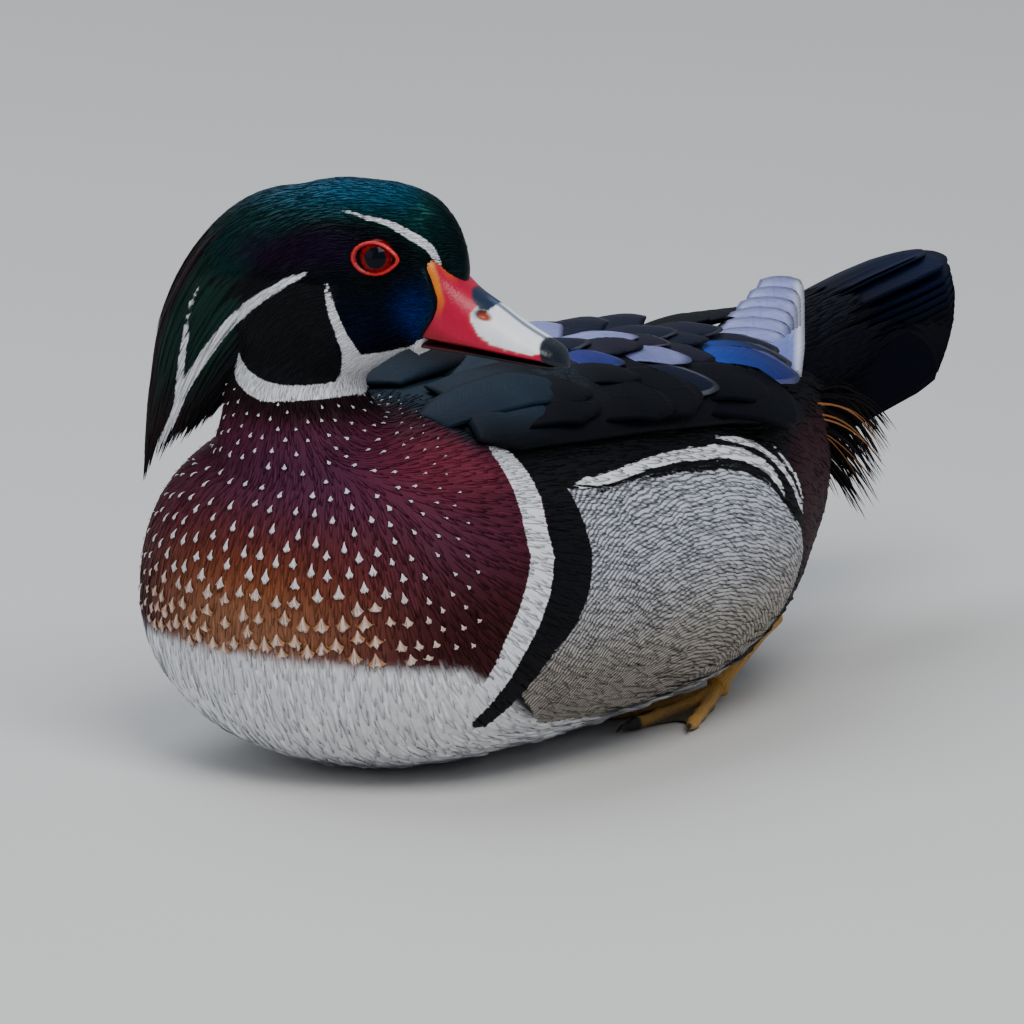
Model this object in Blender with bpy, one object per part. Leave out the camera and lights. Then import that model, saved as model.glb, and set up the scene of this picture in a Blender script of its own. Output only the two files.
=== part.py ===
"""A drake wood duck, life size, resting on its belly with its head turned over its left shoulder.

The body faces -Y, its left side is +X and +Z is up. The origin is the middle of the belly's flat, on the floor.
Sizes and places are in millimetres; solid() turns them into Blender's metres.
"""

import math

import bmesh
import bpy
import numpy as np

MM = 0.001
GAP = 0.3  # clear space between pieces that meet face to face
WELD = 2e-6  # points closer than this, in metres, become one
SIDES = (1, -1)  # left and right
SIDE_NAMES = {1: "left", -1: "right"}
FLOOR = 0.0

# Torso: one row for each station from breast to vent.
# Along the body, half width, back height, belly height, height of the widest place.
TORSO = np.array(
    [
        (-99, 0, 47, 47, 47),
        (-94, 26, 71, 25, 45),
        (-83, 45, 84, 10, 43),
        (-68, 57.5, 91, 2.5, 42),
        (-45, 64, 94.5, -1.2, 42),
        (-10, 67, 95.0, -1.6, 43),
        (30, 66, 94, -1.6, 44),
        (62, 60, 91, 0.5, 46),
        (88, 48, 87.5, 11, 49),
        (103, 37, 82, 24, 52),
        (113, 0, 56, 56, 56),
    ],
    float,
)
TORSO_RINGS = 28
TORSO_SPOKES = 28
BACK_SQUARENESS = 0.88  # below 1 the section fills out towards its corners
BELLY_SQUARENESS = 0.96

# Head: its own axes are forward, right and up, from the point midway between the eyes.
HEAD_PLACE = np.array([15.0, -58.0, 138.6])
HEAD_TURN = math.radians(104)  # to the left of straight ahead
FORWARD = np.array([math.sin(HEAD_TURN), -math.cos(HEAD_TURN), 0.0])
RIGHT = np.array([FORWARD[1], -FORWARD[0], 0.0])
UP = np.array([0.0, 0.0, 1.0])
# Forward, half width, crown, throat, height of the widest place.
HEAD = np.array(
    [
        (23.6, 0, -5, -5, -5),
        (22.8, 2.8, 0.5, -9, -5),
        (20.8, 4.6, 6.5, -11, -3),
        (17.6, 6.4, 11, -12, -1),
        (15.2, 7.6, 13.3, -13, -1),
        (13.6, 10.4, 14.5, -23.5, -7),
        (9.5, 12.2, 16.2, -26.5, -9),
        (3, 13.9, 17.7, -29.5, -10),
        (-5, 15.8, 18, -35, -13),
        (-13, 17.2, 17.2, -40, -15),
        (-21, 17.4, 14.8, -42, -16),
        (-29, 16, 11, -41, -16),
        (-36, 12.5, 5.5, -35, -15),
        (-41, 0, -14, -14, -14),
    ],
    float,
)
HEAD_RINGS = 22
HEAD_SPOKES = 18

EYE_SPAN = 9.2  # from the head's middle to each eyeball's centre
EYE_RADIUS = 5.6
EYE_RINGS = 8
EYE_SPOKES = 12
LID_RADIUS = 5.6
LID_SPAN = 13.0
LID_THICK = 1.15
LID_CORNER = 0.16  # how far the rim is drawn out towards the bill
LID_HEIGHT = 0.86
LID_STEPS = 16
LID_SPOKES = 5

# Upper bill: forward, half width, ridge, cutting edge, height of the widest place.
UPPER_BILL = np.array(
    [
        (8, 6, -3, -20, -19),
        (11, 9.2, 0.2, -21.3, -20),
        (15, 9.5, -0.8, -21.8, -20.5),
        (19, 9.3, -4.4, -22.6, -21),
        (24, 8.9, -8.6, -23.4, -21.8),
        (31, 8.3, -13.0, -24.4, -22.8),
        (38, 7.9, -17.6, -25.3, -23.8),
        (44, 6.9, -20.8, -26, -24.8),
        (48, 4.6, -23.2, -27.6, -26),
        (50, 0, -27.6, -27.6, -27.6),
    ],
    float,
)
# Lower bill, in the same terms.
LOWER_BILL = np.array(
    [
        (6, 5.5, -21.5, -27, -22.5),
        (12, 7.6, -22.3, -27.8, -23.5),
        (20, 7.4, -23.2, -27.2, -24.2),
        (30, 6.9, -24.6, -27.4, -25.2),
        (40, 6.0, -25.8, -28.0, -26.4),
        (45.5, 3.6, -26.8, -28.6, -27.4),
        (47, 0, -27.9, -27.9, -27.9),
    ],
    float,
)
BILL_SQUARENESS = 0.85
NOSTRIL = (29.5, 5.6, -15.4)
NOSTRIL_SIZE = np.array([1.9, 1.0, 0.9])
NOSTRIL_SLOPE = 0.35

# Neck: height, middle across and along the body, half depth along the head's axis, half width.
NECK = np.array(
    [
        (122, -4, -62, 10, 9),
        (112, -6, -63, 18, 14.5),
        (101, -7.5, -63.5, 21.5, 17.5),
        (93, -7, -62.5, 23.5, 20.5),
        (85, -5, -59, 29, 27),
        (76, -2, -53, 36, 35),
        (64, 0, -48, 38, 38),
        (52, 0, -45, 25, 25),
    ],
    float,
)
NECK_RINGS = 14
NECK_SPOKES = 26

# Crest: middle of its section forward and up, half depth, half width, from crown to tip.
CREST = np.array(
    [
        (-20, -1, 17.5, 14.5),
        (-30, -5, 18.5, 15.5),
        (-40, -14, 17.2, 13.5),
        (-49.4, -27.4, 14.4, 10.5),
        (-56.8, -43.4, 9.6, 7),
        (-61.4, -55.6, 6.2, 4.2),
        (-67.4, -69, 0.8, 0.6),
    ],
    float,
)
CREST_CORE_END = 0.5
CREST_CORE = 0.88  # the core's size against the crest's own
CREST_LOCKS = 7  # on each side, from the crown's middle line round to the mane's lower edge
LOCK_THICK = 1.4
LOCK_RISE = np.array([-3.0, -0.7, 0.1, 0.1, 0.2])
LOCK_SHAPE = np.array([0.9, 1, 1, 0.66, 0.16])
LOCK_PLACES = np.array([0, 0.28, 0.58, 0.84, 1.0])

# Folded wing: the cloak is the surface that its feathers lie on, the torso's own until the rump,
# in the same terms as the torso.
CLOAK = np.array(
    [
        (-60, 60.5, 92.8, 0, 42),
        (-45, 64, 94.5, 0, 42),
        (-10, 67, 95, 0, 43),
        (30, 66, 94, 0, 44),
        (62, 61, 92, 0, 46),
        (90, 52, 90, 0, 50),
        (112, 43, 87.5, 0, 55),
        (130, 36, 86.5, 0, 60),
        (150, 28, 86, 0, 64),
    ],
    float,
)
WING_START, WING_END = -47, 78
WING_THICK = 4.6
WING_RIM = 1.1
WING_ROWS = 10
WING_COLUMNS = 7
WING_SLANT = 20  # how much further back its front edge starts beside the neck
WING_TOP_ANGLE = 88
# Lower edge of the wing, as an angle up the cloak's section in degrees, at places along the body.
WING_HEM = np.array([(-50, 62), (-38, 52), (-15, 49), (15, 46), (45, 42), (70, 36), (90, 32)], float)
# Feathers of a folded wing: root and tip along the body, root and tip angle, half width,
# height of the tip above the cloak.
SCAPULARS = (
    (-22, 42, 57, 55, 12.5, 6.6),
    (2, 62, 58, 51, 13, 6.0),
    (24, 80, 54, 47, 13, 5.2),
    (42, 94, 52, 43, 12.5, 4.0),
)
MANTLE = (
    (-12, 46, 76, 73, 10, 7.0),
    (14, 72, 74, 71, 11, 6.2),
)
TERTIALS = (
    (24, 82, 64, 61, 10, 4.8),
    (38, 92, 58, 57, 10, 3.6),
    (52, 101, 66, 64, 9, 3.8),
)
SPECULUM = (
    (48, 98, 54, 51, 9, 2.4),
    (54, 105, 60, 58, 9, 2.2),
)
FEATHER_SHAPE = np.array([0.55, 0.92, 1.0, 0.82, 0.32])
FEATHER_PLACES = np.array([0, 0.35, 0.7, 0.9, 1.0])
FEATHER_THICK = 0.9
FEATHER_ROOT_LIFT = 1.5
FEATHER_CAMBER = 0.1
PRIMARIES = {1: 7, -1: 5}  # those that show; the right wing's tip is under the left one's
PRIMARY_STEP = 6.6  # how far each primary reaches past the one before
PRIMARY_LENGTH = 60
PRIMARY_SHORTER = 5.2
PRIMARY_HALF_WIDTH = 6.4
PRIMARY_SPREAD = 1.7
PRIMARY_LAYER = 1.3
PRIMARY_THICK = 0.8
PRIMARY_SHAPE = np.array([0.75, 1.0, 1.0, 0.88, 0.45])
# The left wing's tip is crossed over the right one's: tip of the longest primary, and the way it points.
WING_TIP = {1: ((1, 136, 98), (-0.54, 0.76, 0.34)), -1: ((1, 129, 90.5), (0.38, 0.92, -0.01))}

# Tail
TAIL_PAIRS = 7
TAIL_ROOT = 124
TAIL_TIP = 206
TAIL_HALF_WIDTH = 8.0
TAIL_THICK = 0.8
TAIL_TILT = math.radians(14)  # turns each feather so that its inner edge lies under its neighbour
TAIL_SHAPE = np.array([0.6, 0.9, 1.0, 0.85, 0.35])
# The mass at the tail's root: along the body, half width, top, bottom.
TAIL_MASS = ((117, 11, 80, 62), (122, 16, 84.5, 60), (133, 17.5, 86.5, 60), (144, 17, 87, 63), (151, 12, 85, 68))
TAIL_SPOKES = 14

# Rump and undertail, in the torso's terms.
RUMP = np.array(
    [
        (86, 0, 50, 50, 50),
        (92, 38, 80, 20, 50),
        (101, 41, 84.5, 20, 50),
        (113, 34.5, 83, 28, 53),
        (128, 25, 81, 38.5, 58),
        (140, 19, 79, 47, 62),
        (152, 14, 77.5, 57, 68),
        (164, 8, 80, 69, 75),
        (172, 0, 77, 77, 77),
    ],
    float,
)
RUMP_RINGS = 17
RUMP_SPOKES = 18
# Long loose feathers that hang over each side of the tail's root: root, tip, bend upwards.
PLUMES = (
    ((26, 100, 66), (33, 129, 40), 7),
    ((25, 104, 67), (33, 136, 43), 8),
    ((22, 109, 68), (30, 144, 45), 9),
    ((20, 114, 68), (27, 150, 49), 9),
    ((17, 120, 68), (24, 156, 56), 8),
)
PLUME_HALF_WIDTH = 3.0
PLUME_SHAPE = np.array([0.85, 1, 0.85, 0.5, 0.16])
PLUME_THICK = 0.9

# Folded legs, on the left: heel, root of the toes, and the three front toes' tips.
HEEL = np.array([31.5, 90.0, 18.5])
TOE_ROOT = np.array([33.0, 62.0, 4.2])
TOE_TIPS = np.array([(24, 27, 2.2), (36, 17, 2.2), (49, 28, 2.2)], float)
HIND_TOE = np.array([(33, 67, 6.5), (27.5, 70, 5.4), (22, 72, 4.6)], float)
SHANK_RADIUS = 2.8
TOE_RADIUS = 2.0
LIMB_SPOKES = 6


# Smooth values between stations

def through(rows, count, poles=True):
    """Rows of numbers read along a smooth curve through the given ones, with round ends where a pole closes them."""
    if poles:
        first, last = rows[1].copy(), rows[-2].copy()
        for end in (first, last):
            end[1] = -end[1]
            end[2], end[3] = end[3], end[2]
    else:
        first, last = 2 * rows[0] - rows[1], 2 * rows[-1] - rows[-2]
    padded = np.vstack([first, rows, last])
    places = np.linspace(0, len(rows) - 1, count)
    index = np.minimum(places.astype(int), len(rows) - 2)
    t = (places - index)[:, None]
    a, b, c, d = (padded[index + k] for k in range(4))
    return 0.5 * (2 * b + (c - a) * t + (2 * a - 5 * b + 4 * c - d) * t**2 + (3 * b - a - 3 * c + d) * t**3)


def section(angles, half_width, top, bottom, widest, squareness):
    """Points round one section: across and height, egg shaped about the height of its widest place."""
    c, s = np.cos(angles), np.sin(angles)
    across = half_width * np.sign(c) * np.abs(c) ** squareness
    height = widest + np.where(s > 0, top - widest, widest - bottom) * np.sign(s) * np.abs(s) ** squareness
    return across, height


def mirrored(points, side):
    return np.asarray(points, float) * np.array([side, 1, 1])


# Meshes

def outwards(work):
    """Turns the faces of a closed mesh outwards."""
    bmesh.ops.recalc_face_normals(work, faces=work.faces)
    if work.calc_volume(signed=True) < 0:
        bmesh.ops.reverse_faces(work, faces=work.faces)


def solid(name, points, faces):
    """A mesh object from points in millimetres, with its faces turned outwards."""
    mesh = bpy.data.meshes.new(name)
    mesh.from_pydata((np.asarray(points) * MM).tolist(), [], faces)
    work = bmesh.new()
    work.from_mesh(mesh)
    bmesh.ops.remove_doubles(work, verts=work.verts, dist=WELD)
    bmesh.ops.triangulate(work, faces=work.faces)
    outwards(work)
    work.to_mesh(mesh)
    work.free()
    piece = bpy.data.objects.new(name, mesh)
    bpy.context.scene.collection.objects.link(piece)
    return piece


def loft(name, rings):
    """A closed solid through rings of points; each end is closed by a fan from the ring's middle."""
    rings = np.asarray(rings)
    count, spokes = rings.shape[:2]
    points = np.vstack([rings.reshape(-1, 3), rings[0].mean(axis=0), rings[-1].mean(axis=0)])
    faces = []
    for i in range(count - 1):
        for j in range(spokes):
            k = (j + 1) % spokes
            faces.append((i * spokes + j, i * spokes + k, (i + 1) * spokes + k, (i + 1) * spokes + j))
    first, last = count * spokes, count * spokes + 1
    for j in range(spokes):
        k = (j + 1) % spokes
        faces.append((first, k, j))
        faces.append((last, (count - 1) * spokes + j, (count - 1) * spokes + k))
    return solid(name, points, faces)


def closed_loop(name, rings):
    """A ring-shaped solid through sections that run round and join their start."""
    rings = np.asarray(rings)
    count, spokes = rings.shape[:2]
    faces = []
    for i in range(count):
        n = (i + 1) % count
        for j in range(spokes):
            k = (j + 1) % spokes
            faces.append((i * spokes + j, i * spokes + k, n * spokes + k, n * spokes + j))
    return solid(name, rings.reshape(-1, 3), faces)


def modifier_applied(piece, kind, **settings):
    """Adds one modifier, sets it and applies it to the mesh."""
    modifier = piece.modifiers.new(kind.title(), kind)
    for key, value in settings.items():
        setattr(modifier, key, value)
    graph = bpy.context.evaluated_depsgraph_get()
    mesh = bpy.data.meshes.new_from_object(piece.evaluated_get(graph))
    piece.modifiers.clear()
    old = piece.data
    piece.data = mesh
    bpy.data.meshes.remove(old)
    return piece


def connected(work):
    """The faces of a mesh in groups that hang together."""
    groups, seen = [], set()
    for face in work.faces:
        if face in seen:
            continue
        group, waiting = [], [face]
        seen.add(face)
        while waiting:
            here = waiting.pop()
            group.append(here)
            for edge in here.edges:
                for other in edge.link_faces:
                    if other not in seen:
                        seen.add(other)
                        waiting.append(other)
        groups.append(group)
    return groups


def largest_only(piece):
    """Keeps the largest closed surface of a piece."""
    work = bmesh.new()
    work.from_mesh(piece.data)
    bmesh.ops.remove_doubles(work, verts=work.verts, dist=WELD)
    bmesh.ops.dissolve_degenerate(work, dist=WELD, edges=work.edges)
    bmesh.ops.triangulate(work, faces=work.faces)
    groups = sorted(connected(work), key=lambda group: sum(face.calc_area() for face in group))
    loose = [face for group in groups[:-1] for face in group]
    bmesh.ops.delete(work, geom=loose, context="FACES")
    work.to_mesh(piece.data)
    work.free()
    return piece


def fused(name, pieces, solver="MANIFOLD"):
    """Joins closed pieces into one closed body by a single Boolean union."""
    core, rest = pieces[0], pieces[1:]
    group = bpy.data.collections.new(name + "_pieces")
    bpy.context.scene.collection.children.link(group)
    for piece in rest:
        bpy.context.scene.collection.objects.unlink(piece)
        group.objects.link(piece)
    modifier_applied(core, "BOOLEAN", operation="UNION", operand_type="COLLECTION", collection=group, solver=solver)
    for piece in rest:
        bpy.data.objects.remove(piece)
    bpy.data.collections.remove(group)
    core.name = core.data.name = name
    return largest_only(core)


def less(piece, cutter, solver="MANIFOLD"):
    """Cuts one closed piece by another, and removes the cutter."""
    modifier_applied(piece, "BOOLEAN", operation="DIFFERENCE", object=cutter, solver=solver)
    bpy.data.objects.remove(cutter)
    return largest_only(piece)


def grown(piece, by=GAP):
    """A copy of a piece whose points stand further out along their normals, as a cutter that leaves a gap."""
    copy = bpy.data.objects.new(piece.name + "_room", piece.data.copy())
    bpy.context.scene.collection.objects.link(copy)
    corner_allowance = 1.25
    for vertex in copy.data.vertices:
        vertex.co += vertex.normal * by * corner_allowance * MM
    return copy


def sheet(name, upper, lower):
    """A closed thin plate between two grids of points.

    Both faces are split into triangles alike, so that a curved thin plate does not cross itself.
    """
    upper, lower = np.asarray(upper), np.asarray(lower)
    rows, columns = upper.shape[:2]
    under = rows * columns
    faces = []
    for i in range(rows - 1):
        for j in range(columns - 1):
            a = i * columns + j
            b, c, d = a + columns, a + columns + 1, a + 1
            faces += [(a, b, c), (a, c, d), (a + under, c + under, b + under), (a + under, d + under, c + under)]
    rim = [i * columns for i in range(rows)]
    rim += [(rows - 1) * columns + j for j in range(1, columns)]
    rim += [i * columns + columns - 1 for i in range(rows - 2, -1, -1)]
    rim += [j for j in range(columns - 2, 0, -1)]
    for a, b in zip(rim, rim[1:] + rim[:1]):
        faces.append((a, a + under, b + under, b))
    return solid(name, np.concatenate([upper.reshape(-1, 3), lower.reshape(-1, 3)]), faces)


def vane(name, line, normals, half_widths, thick, camber=0.0):
    """One feather: a thin plate along a line, its face turned to the normals; with camber its middle is raised."""
    line, normals = np.asarray(line, float), np.asarray(normals, float)
    normals = normals / np.linalg.norm(normals, axis=1)[:, None]
    sideways = np.cross(np.gradient(line, axis=0), normals)
    sideways /= np.linalg.norm(sideways, axis=1)[:, None]
    width = np.asarray(half_widths, float)[:, None]
    places = (-1, 0, 1) if camber else (-1, 1)
    upper = np.stack([line + k * sideways * width - abs(k) * camber * width * normals for k in places], axis=1)
    return sheet(name, upper, upper - normals[:, None] * thick)


def ball(name, centre, radii, rings=EYE_RINGS, spokes=EYE_SPOKES):
    tilt = np.linspace(0, math.pi, rings + 2)[1:-1]
    turn = np.linspace(0, 2 * math.pi, spokes, endpoint=False)
    shells = []
    for a in tilt:
        shell = [math.sin(a) * np.cos(turn), np.full_like(turn, math.cos(a)), math.sin(a) * np.sin(turn)]
        shells.append(centre + np.column_stack(shell) * radii)
    return loft(name, shells)


# Torso

def body_loft(name, rows, rings, spokes, back, belly):
    """A closed form along the body, through rows of stations, pressed flat where it reaches the floor."""
    angles = np.linspace(0, 2 * math.pi, spokes, endpoint=False) - math.pi / 2
    squareness = np.where(np.sin(angles) > 0, back, belly)
    made = []
    for y, half, top, bottom, widest in through(rows, rings)[1:-1]:
        x, z = section(angles, half, top, bottom, widest, squareness)
        made.append(np.column_stack([x, np.full_like(x, y), np.maximum(z, FLOOR)]))
    return loft(name, made)


def torso():
    return body_loft("torso", TORSO, TORSO_RINGS, TORSO_SPOKES, BACK_SQUARENESS, BELLY_SQUARENESS)


# Head

def head_point(forward, right, up):
    """A point of the head's own axes in the body's."""
    parts = (np.multiply.outer(value, axis) for value, axis in ((forward, FORWARD), (right, RIGHT), (up, UP)))
    return HEAD_PLACE + sum(parts)


def head_loft(name, rows, rings, spokes, squareness=1.0):
    """A form on the head's own axes, through rows of forward, half width, top, bottom and widest height."""
    angles = np.linspace(0, 2 * math.pi, spokes, endpoint=False)
    made = []
    for forward, half, top, bottom, widest in through(rows, rings)[1:-1]:
        across, height = section(angles, half, top, bottom, widest, squareness)
        made.append(head_point(np.full_like(across, forward), across, height))
    return loft(name, made)


def eye_place(side):
    return head_point(0.0, -side * EYE_SPAN, 0.0)


def lids(side):
    """The raised rim of the eyelids, a ring about the eye, drawn out to its front corner."""
    corner_width, lean = 0.42, 0.09
    turn = np.linspace(0, 2 * math.pi, LID_STEPS, endpoint=False)
    about = np.linspace(0, 2 * math.pi, LID_SPOKES, endpoint=False)
    rings = []
    for a in turn:
        corner = math.exp(-((min(a, 2 * math.pi - a) / corner_width) ** 2))
        radius = LID_RADIUS * (1 + LID_CORNER * corner) + LID_THICK * np.cos(about)
        forward = radius * math.cos(a)
        out = LID_SPAN - lean * forward + LID_THICK * np.sin(about)
        rings.append(head_point(forward, -side * out, radius * math.sin(a) * LID_HEIGHT))
    return closed_loop("lids", rings)


def head():
    skull = head_loft("head", HEAD, HEAD_RINGS, HEAD_SPOKES)
    whole = fused("head", [skull] + [lids(side) for side in SIDES])
    for side in SIDES:
        whole = less(whole, ball("socket", eye_place(side), EYE_RADIUS + GAP))
    return whole


def eye(side):
    return ball("eye_" + SIDE_NAMES[side], eye_place(side), EYE_RADIUS)


def nostril(side):
    forward, out, up = NOSTRIL
    pit = ball("nostril", np.zeros(3), NOSTRIL_SIZE, 5, 8)
    for vertex in pit.data.vertices:
        f, r, u = vertex.co / MM
        vertex.co = head_point(forward + f, -side * out + r, up + u - f * NOSTRIL_SLOPE) * MM
    work = bmesh.new()
    work.from_mesh(pit.data)
    outwards(work)
    work.to_mesh(pit.data)
    work.free()
    return pit


def upper_bill(skull):
    bill = less(head_loft("upper_bill", UPPER_BILL, 17, 16, BILL_SQUARENESS), grown(skull))
    for side in SIDES:
        bill = less(bill, nostril(side))
    return bill


def lower_bill(skull, upper):
    bill = less(head_loft("lower_bill", LOWER_BILL, 12, 12, BILL_SQUARENESS), grown(skull))
    return less(bill, grown(upper))


def neck(body, skull):
    angles = np.linspace(0, 2 * math.pi, NECK_SPOKES, endpoint=False)
    rings = []
    for z, x, y, deep, wide in through(NECK, NECK_RINGS, poles=False):
        rings.append((x, y, z) + np.outer(deep * np.cos(angles), FORWARD) + np.outer(wide * np.sin(angles), RIGHT))
    return less(less(loft("neck", rings), grown(body)), grown(skull))


# Crest

def crest_section(share):
    """Middle, run and half sizes of the crest at shares from crown (0) to tip (1)."""
    rows = through(CREST, 61, poles=False)
    run = np.gradient(rows[:, :2], axis=0)
    run /= np.linalg.norm(run, axis=1)[:, None]
    places = np.linspace(0, 1, len(rows))
    return [np.interp(share, places, column) for column in (*rows.T, *run.T)]


def crest_point(share, angle, lift=0.0, size=1.0):
    """A point on the crest: angle 0 is its outer edge, half a turn its lower edge, positive to the right."""
    forward, up, deep, wide, run_forward, run_up = crest_section(share)
    out = (size * deep + lift) * np.cos(angle)
    across = (size * wide + lift) * np.sin(angle)
    return head_point(forward + out * run_up, across, up - out * run_forward)


def crest_normal(share, angle):
    small = 1e-3
    around = crest_point(share, angle + small) - crest_point(share, angle - small)
    down = crest_point(np.minimum(share + small, 1), angle) - crest_point(np.maximum(share - small, 0), angle)
    normal = np.cross(around, down)
    normal /= np.linalg.norm(normal, axis=-1, keepdims=True)
    outward = crest_point(share, angle) - crest_point(share, angle, size=0.0)
    return normal * np.sign((normal * outward).sum(axis=-1, keepdims=True))


def crest_lock(side, rank, draw):
    """One flat tapered lock along the crest's surface; rank 0 lies on the outer edge."""
    turned = math.pi * (rank + 0.5) / CREST_LOCKS
    start = 0.08 + 0.22 * rank / CREST_LOCKS
    reach = 1.0 - 0.22 * (turned / math.pi) ** 1.5 - draw.uniform(0, 0.08)
    share = start + (reach - start) * LOCK_PLACES
    angle = np.full_like(share, side * (turned + draw.uniform(-0.06, 0.06)))
    deep, wide = crest_section(share)[2:4]
    spacing = math.pi * 0.5 * (deep + wide) / CREST_LOCKS
    widths = np.maximum(spacing * 0.72, 1.2) * LOCK_SHAPE
    line = crest_point(share, angle, LOCK_RISE)
    return vane("lock", line, crest_normal(share, angle), widths, LOCK_THICK)


def crest(skull, nape):
    turn = np.linspace(0, 2 * math.pi, 14, endpoint=False)
    rings = [crest_point(share, turn, size=CREST_CORE) for share in np.linspace(0, CREST_CORE_END, 6)]
    rings.append(crest_point(CREST_CORE_END + 0.04, turn, size=0.5))
    draw = np.random.default_rng(7)
    locks = [crest_lock(side, rank, draw) for side in SIDES for rank in range(CREST_LOCKS)]
    whole = fused("crest", [loft("crest", rings)] + locks)
    return less(less(whole, grown(skull)), grown(nape, 2 * GAP))


# Wings

def cloak_point(y, angle, lift=0.0):
    """A point on the cloak's left side at a place along the body and an angle up its section, in degrees."""
    rows = through(CLOAK, 121, poles=False)
    half, top, widest = (np.interp(y, rows[:, 0], rows[:, k]) for k in (1, 2, 4))
    x, z = section(np.radians(angle), half + lift, top + lift, 0.0, widest, BACK_SQUARENESS)
    return np.stack(np.broadcast_arrays(x, y, z), axis=-1)


def cloak_normal(y, angle):
    small = 0.05
    around = cloak_point(y, angle + small) - cloak_point(y, angle - small)
    back = cloak_point(y + small, angle) - cloak_point(y - small, angle)
    normal = np.cross(back, around)
    return normal / np.linalg.norm(normal, axis=-1, keepdims=True)


def wing_mass(side):
    """The body of the folded wing: a close cover of the back from the shoulder to the rump."""
    edge, edge_angle = 0.3, 10
    outer, inner = [], []
    for y in np.linspace(WING_START, WING_END, WING_ROWS):
        low = np.interp(y, WING_HEM[:, 0], WING_HEM[:, 1])
        angle = np.linspace(low, WING_TOP_ANGLE, WING_COLUMNS)
        share = (y - WING_START) / (WING_END - WING_START)
        along_body = min(1, (share / 0.16) ** 0.6) * (1 - 0.5 * share**3)
        to_edge = np.minimum(angle - low, WING_TOP_ANGLE - angle) / edge_angle
        across = np.clip(edge + (1 - edge) * np.sqrt(to_edge), 0, 1)
        place = y + WING_SLANT * (1 - share) ** 2 * (angle - low) / (WING_TOP_ANGLE - low)
        outer.append(cloak_point(place, angle, WING_RIM + WING_THICK * along_body * across))
        inner.append(cloak_point(place, angle, GAP))
    return sheet("wing", mirrored(outer, side), mirrored(inner, side))


def laid_feather(side, root, tip, root_angle, tip_angle, half_width, height):
    """A feather of the folded wing: it rises out of the wing's mass and lies along the cloak."""
    y = root + (tip - root) * FEATHER_PLACES
    angle = root_angle + (tip_angle - root_angle) * FEATHER_PLACES
    lift = FEATHER_ROOT_LIFT + (height - FEATHER_ROOT_LIFT) * np.minimum(FEATHER_PLACES * 1.35, 1)
    line, normals = mirrored(cloak_point(y, angle, lift), side), mirrored(cloak_normal(y, angle), side)
    return vane("feather", line, normals, half_width * FEATHER_SHAPE, FEATHER_THICK, FEATHER_CAMBER)


def primary(side, rank):
    """One long flight feather of the wing's tip; rank 0 is the longest and lowest."""
    tip, way = (np.array(v, float) for v in WING_TIP[side])
    way /= np.linalg.norm(way)
    across = np.cross(way, UP)
    across /= np.linalg.norm(across)
    face = np.cross(across, way)
    inwards = -side * across * np.sign(across[0])
    end = tip + rank * (inwards * PRIMARY_SPREAD + face * PRIMARY_LAYER - way * PRIMARY_STEP)
    back = 1 - FEATHER_PLACES
    line = end - np.outer(back, way) * (PRIMARY_LENGTH - PRIMARY_SHORTER * rank)
    if side > 0:
        line[:, 2] += 5.0 * back**2
    normals = np.tile(face, (len(line), 1))
    return vane("primary", line, normals, PRIMARY_HALF_WIDTH * PRIMARY_SHAPE, PRIMARY_THICK)


def wing(side):
    pieces = [wing_mass(side)]
    pieces += [laid_feather(side, *row) for row in SCAPULARS + MANTLE + TERTIALS + SPECULUM]
    pieces += [primary(side, rank) for rank in range(PRIMARIES[side])]
    return fused("wing_" + SIDE_NAMES[side], pieces)


# Tail

def tail_feather(side, rank, room):
    """One of the tail's feathers; rank 0 is the middle one, and each next one lies lower and under it."""
    q = rank / (TAIL_PAIRS - 1)
    root = np.array([side * (2.2 + 13 * q), TAIL_ROOT, 82 - 21 * q**1.2])
    tip = np.array([side * (3.6 + 18 * q), TAIL_TIP - 27 * q**1.7, 93.4 - 18 * q**0.9])
    lean = math.radians(10 + 58 * q)
    surface = np.array([side * math.sin(lean), 0, math.cos(lean)])
    turned = lean - TAIL_TILT
    face = np.array([side * math.sin(turned), -0.06, math.cos(turned)])
    line = root + np.outer(FEATHER_PLACES, tip - root) + np.outer(np.sin(math.pi * FEATHER_PLACES), surface) * 1.5
    widths = TAIL_HALF_WIDTH * TAIL_SHAPE + room
    return vane("tail_feather", line + room * face, np.tile(face, (len(line), 1)), widths, TAIL_THICK + 2 * room)


def tail(room=0.0):
    """The tail: a tent of feathers from a short root. With room, the space that it needs about it."""
    turn = np.linspace(0, 2 * math.pi, TAIL_SPOKES, endpoint=False)
    rings = []
    for y, half, top, bottom in TAIL_MASS:
        x, z = section(turn, half + room, top + room, bottom - room, bottom + 0.35 * (top - bottom), 1.0)
        rings.append(np.column_stack([x, np.full_like(x, y), z]))
    rings[0][:, 1] -= room
    rings[-1][:, 1] += room
    feathers = [tail_feather(side, rank, room) for rank in range(TAIL_PAIRS) for side in SIDES]
    return fused("tail", [loft("tail", rings)] + feathers)


def plume(side, root, tip, bend):
    """A long loose feather that hangs from the rump over the side of the tail's root."""
    root, tip = mirrored(root, side), mirrored(tip, side)
    places = np.linspace(0, 1, 5)
    line = root + np.outer(places, tip - root)
    line[:, 2] += bend * np.sin(math.pi * places)
    line[:, 0] += side * 0.5 * bend * np.sin(math.pi * places)
    normals = np.tile((side * 0.9, -0.1, 0.42), (len(line), 1))
    return vane("plume", line, normals, PLUME_HALF_WIDTH * PLUME_SHAPE, PLUME_THICK)


def rump(body):
    mass = body_loft("rump", RUMP, RUMP_RINGS, RUMP_SPOKES, BACK_SQUARENESS, BELLY_SQUARENESS)
    plumes = [plume(side, *row) for side in SIDES for row in PLUMES]
    whole = fused("rump", [mass] + plumes)
    return less(less(whole, grown(body)), tail(room=GAP))


# Legs

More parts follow.
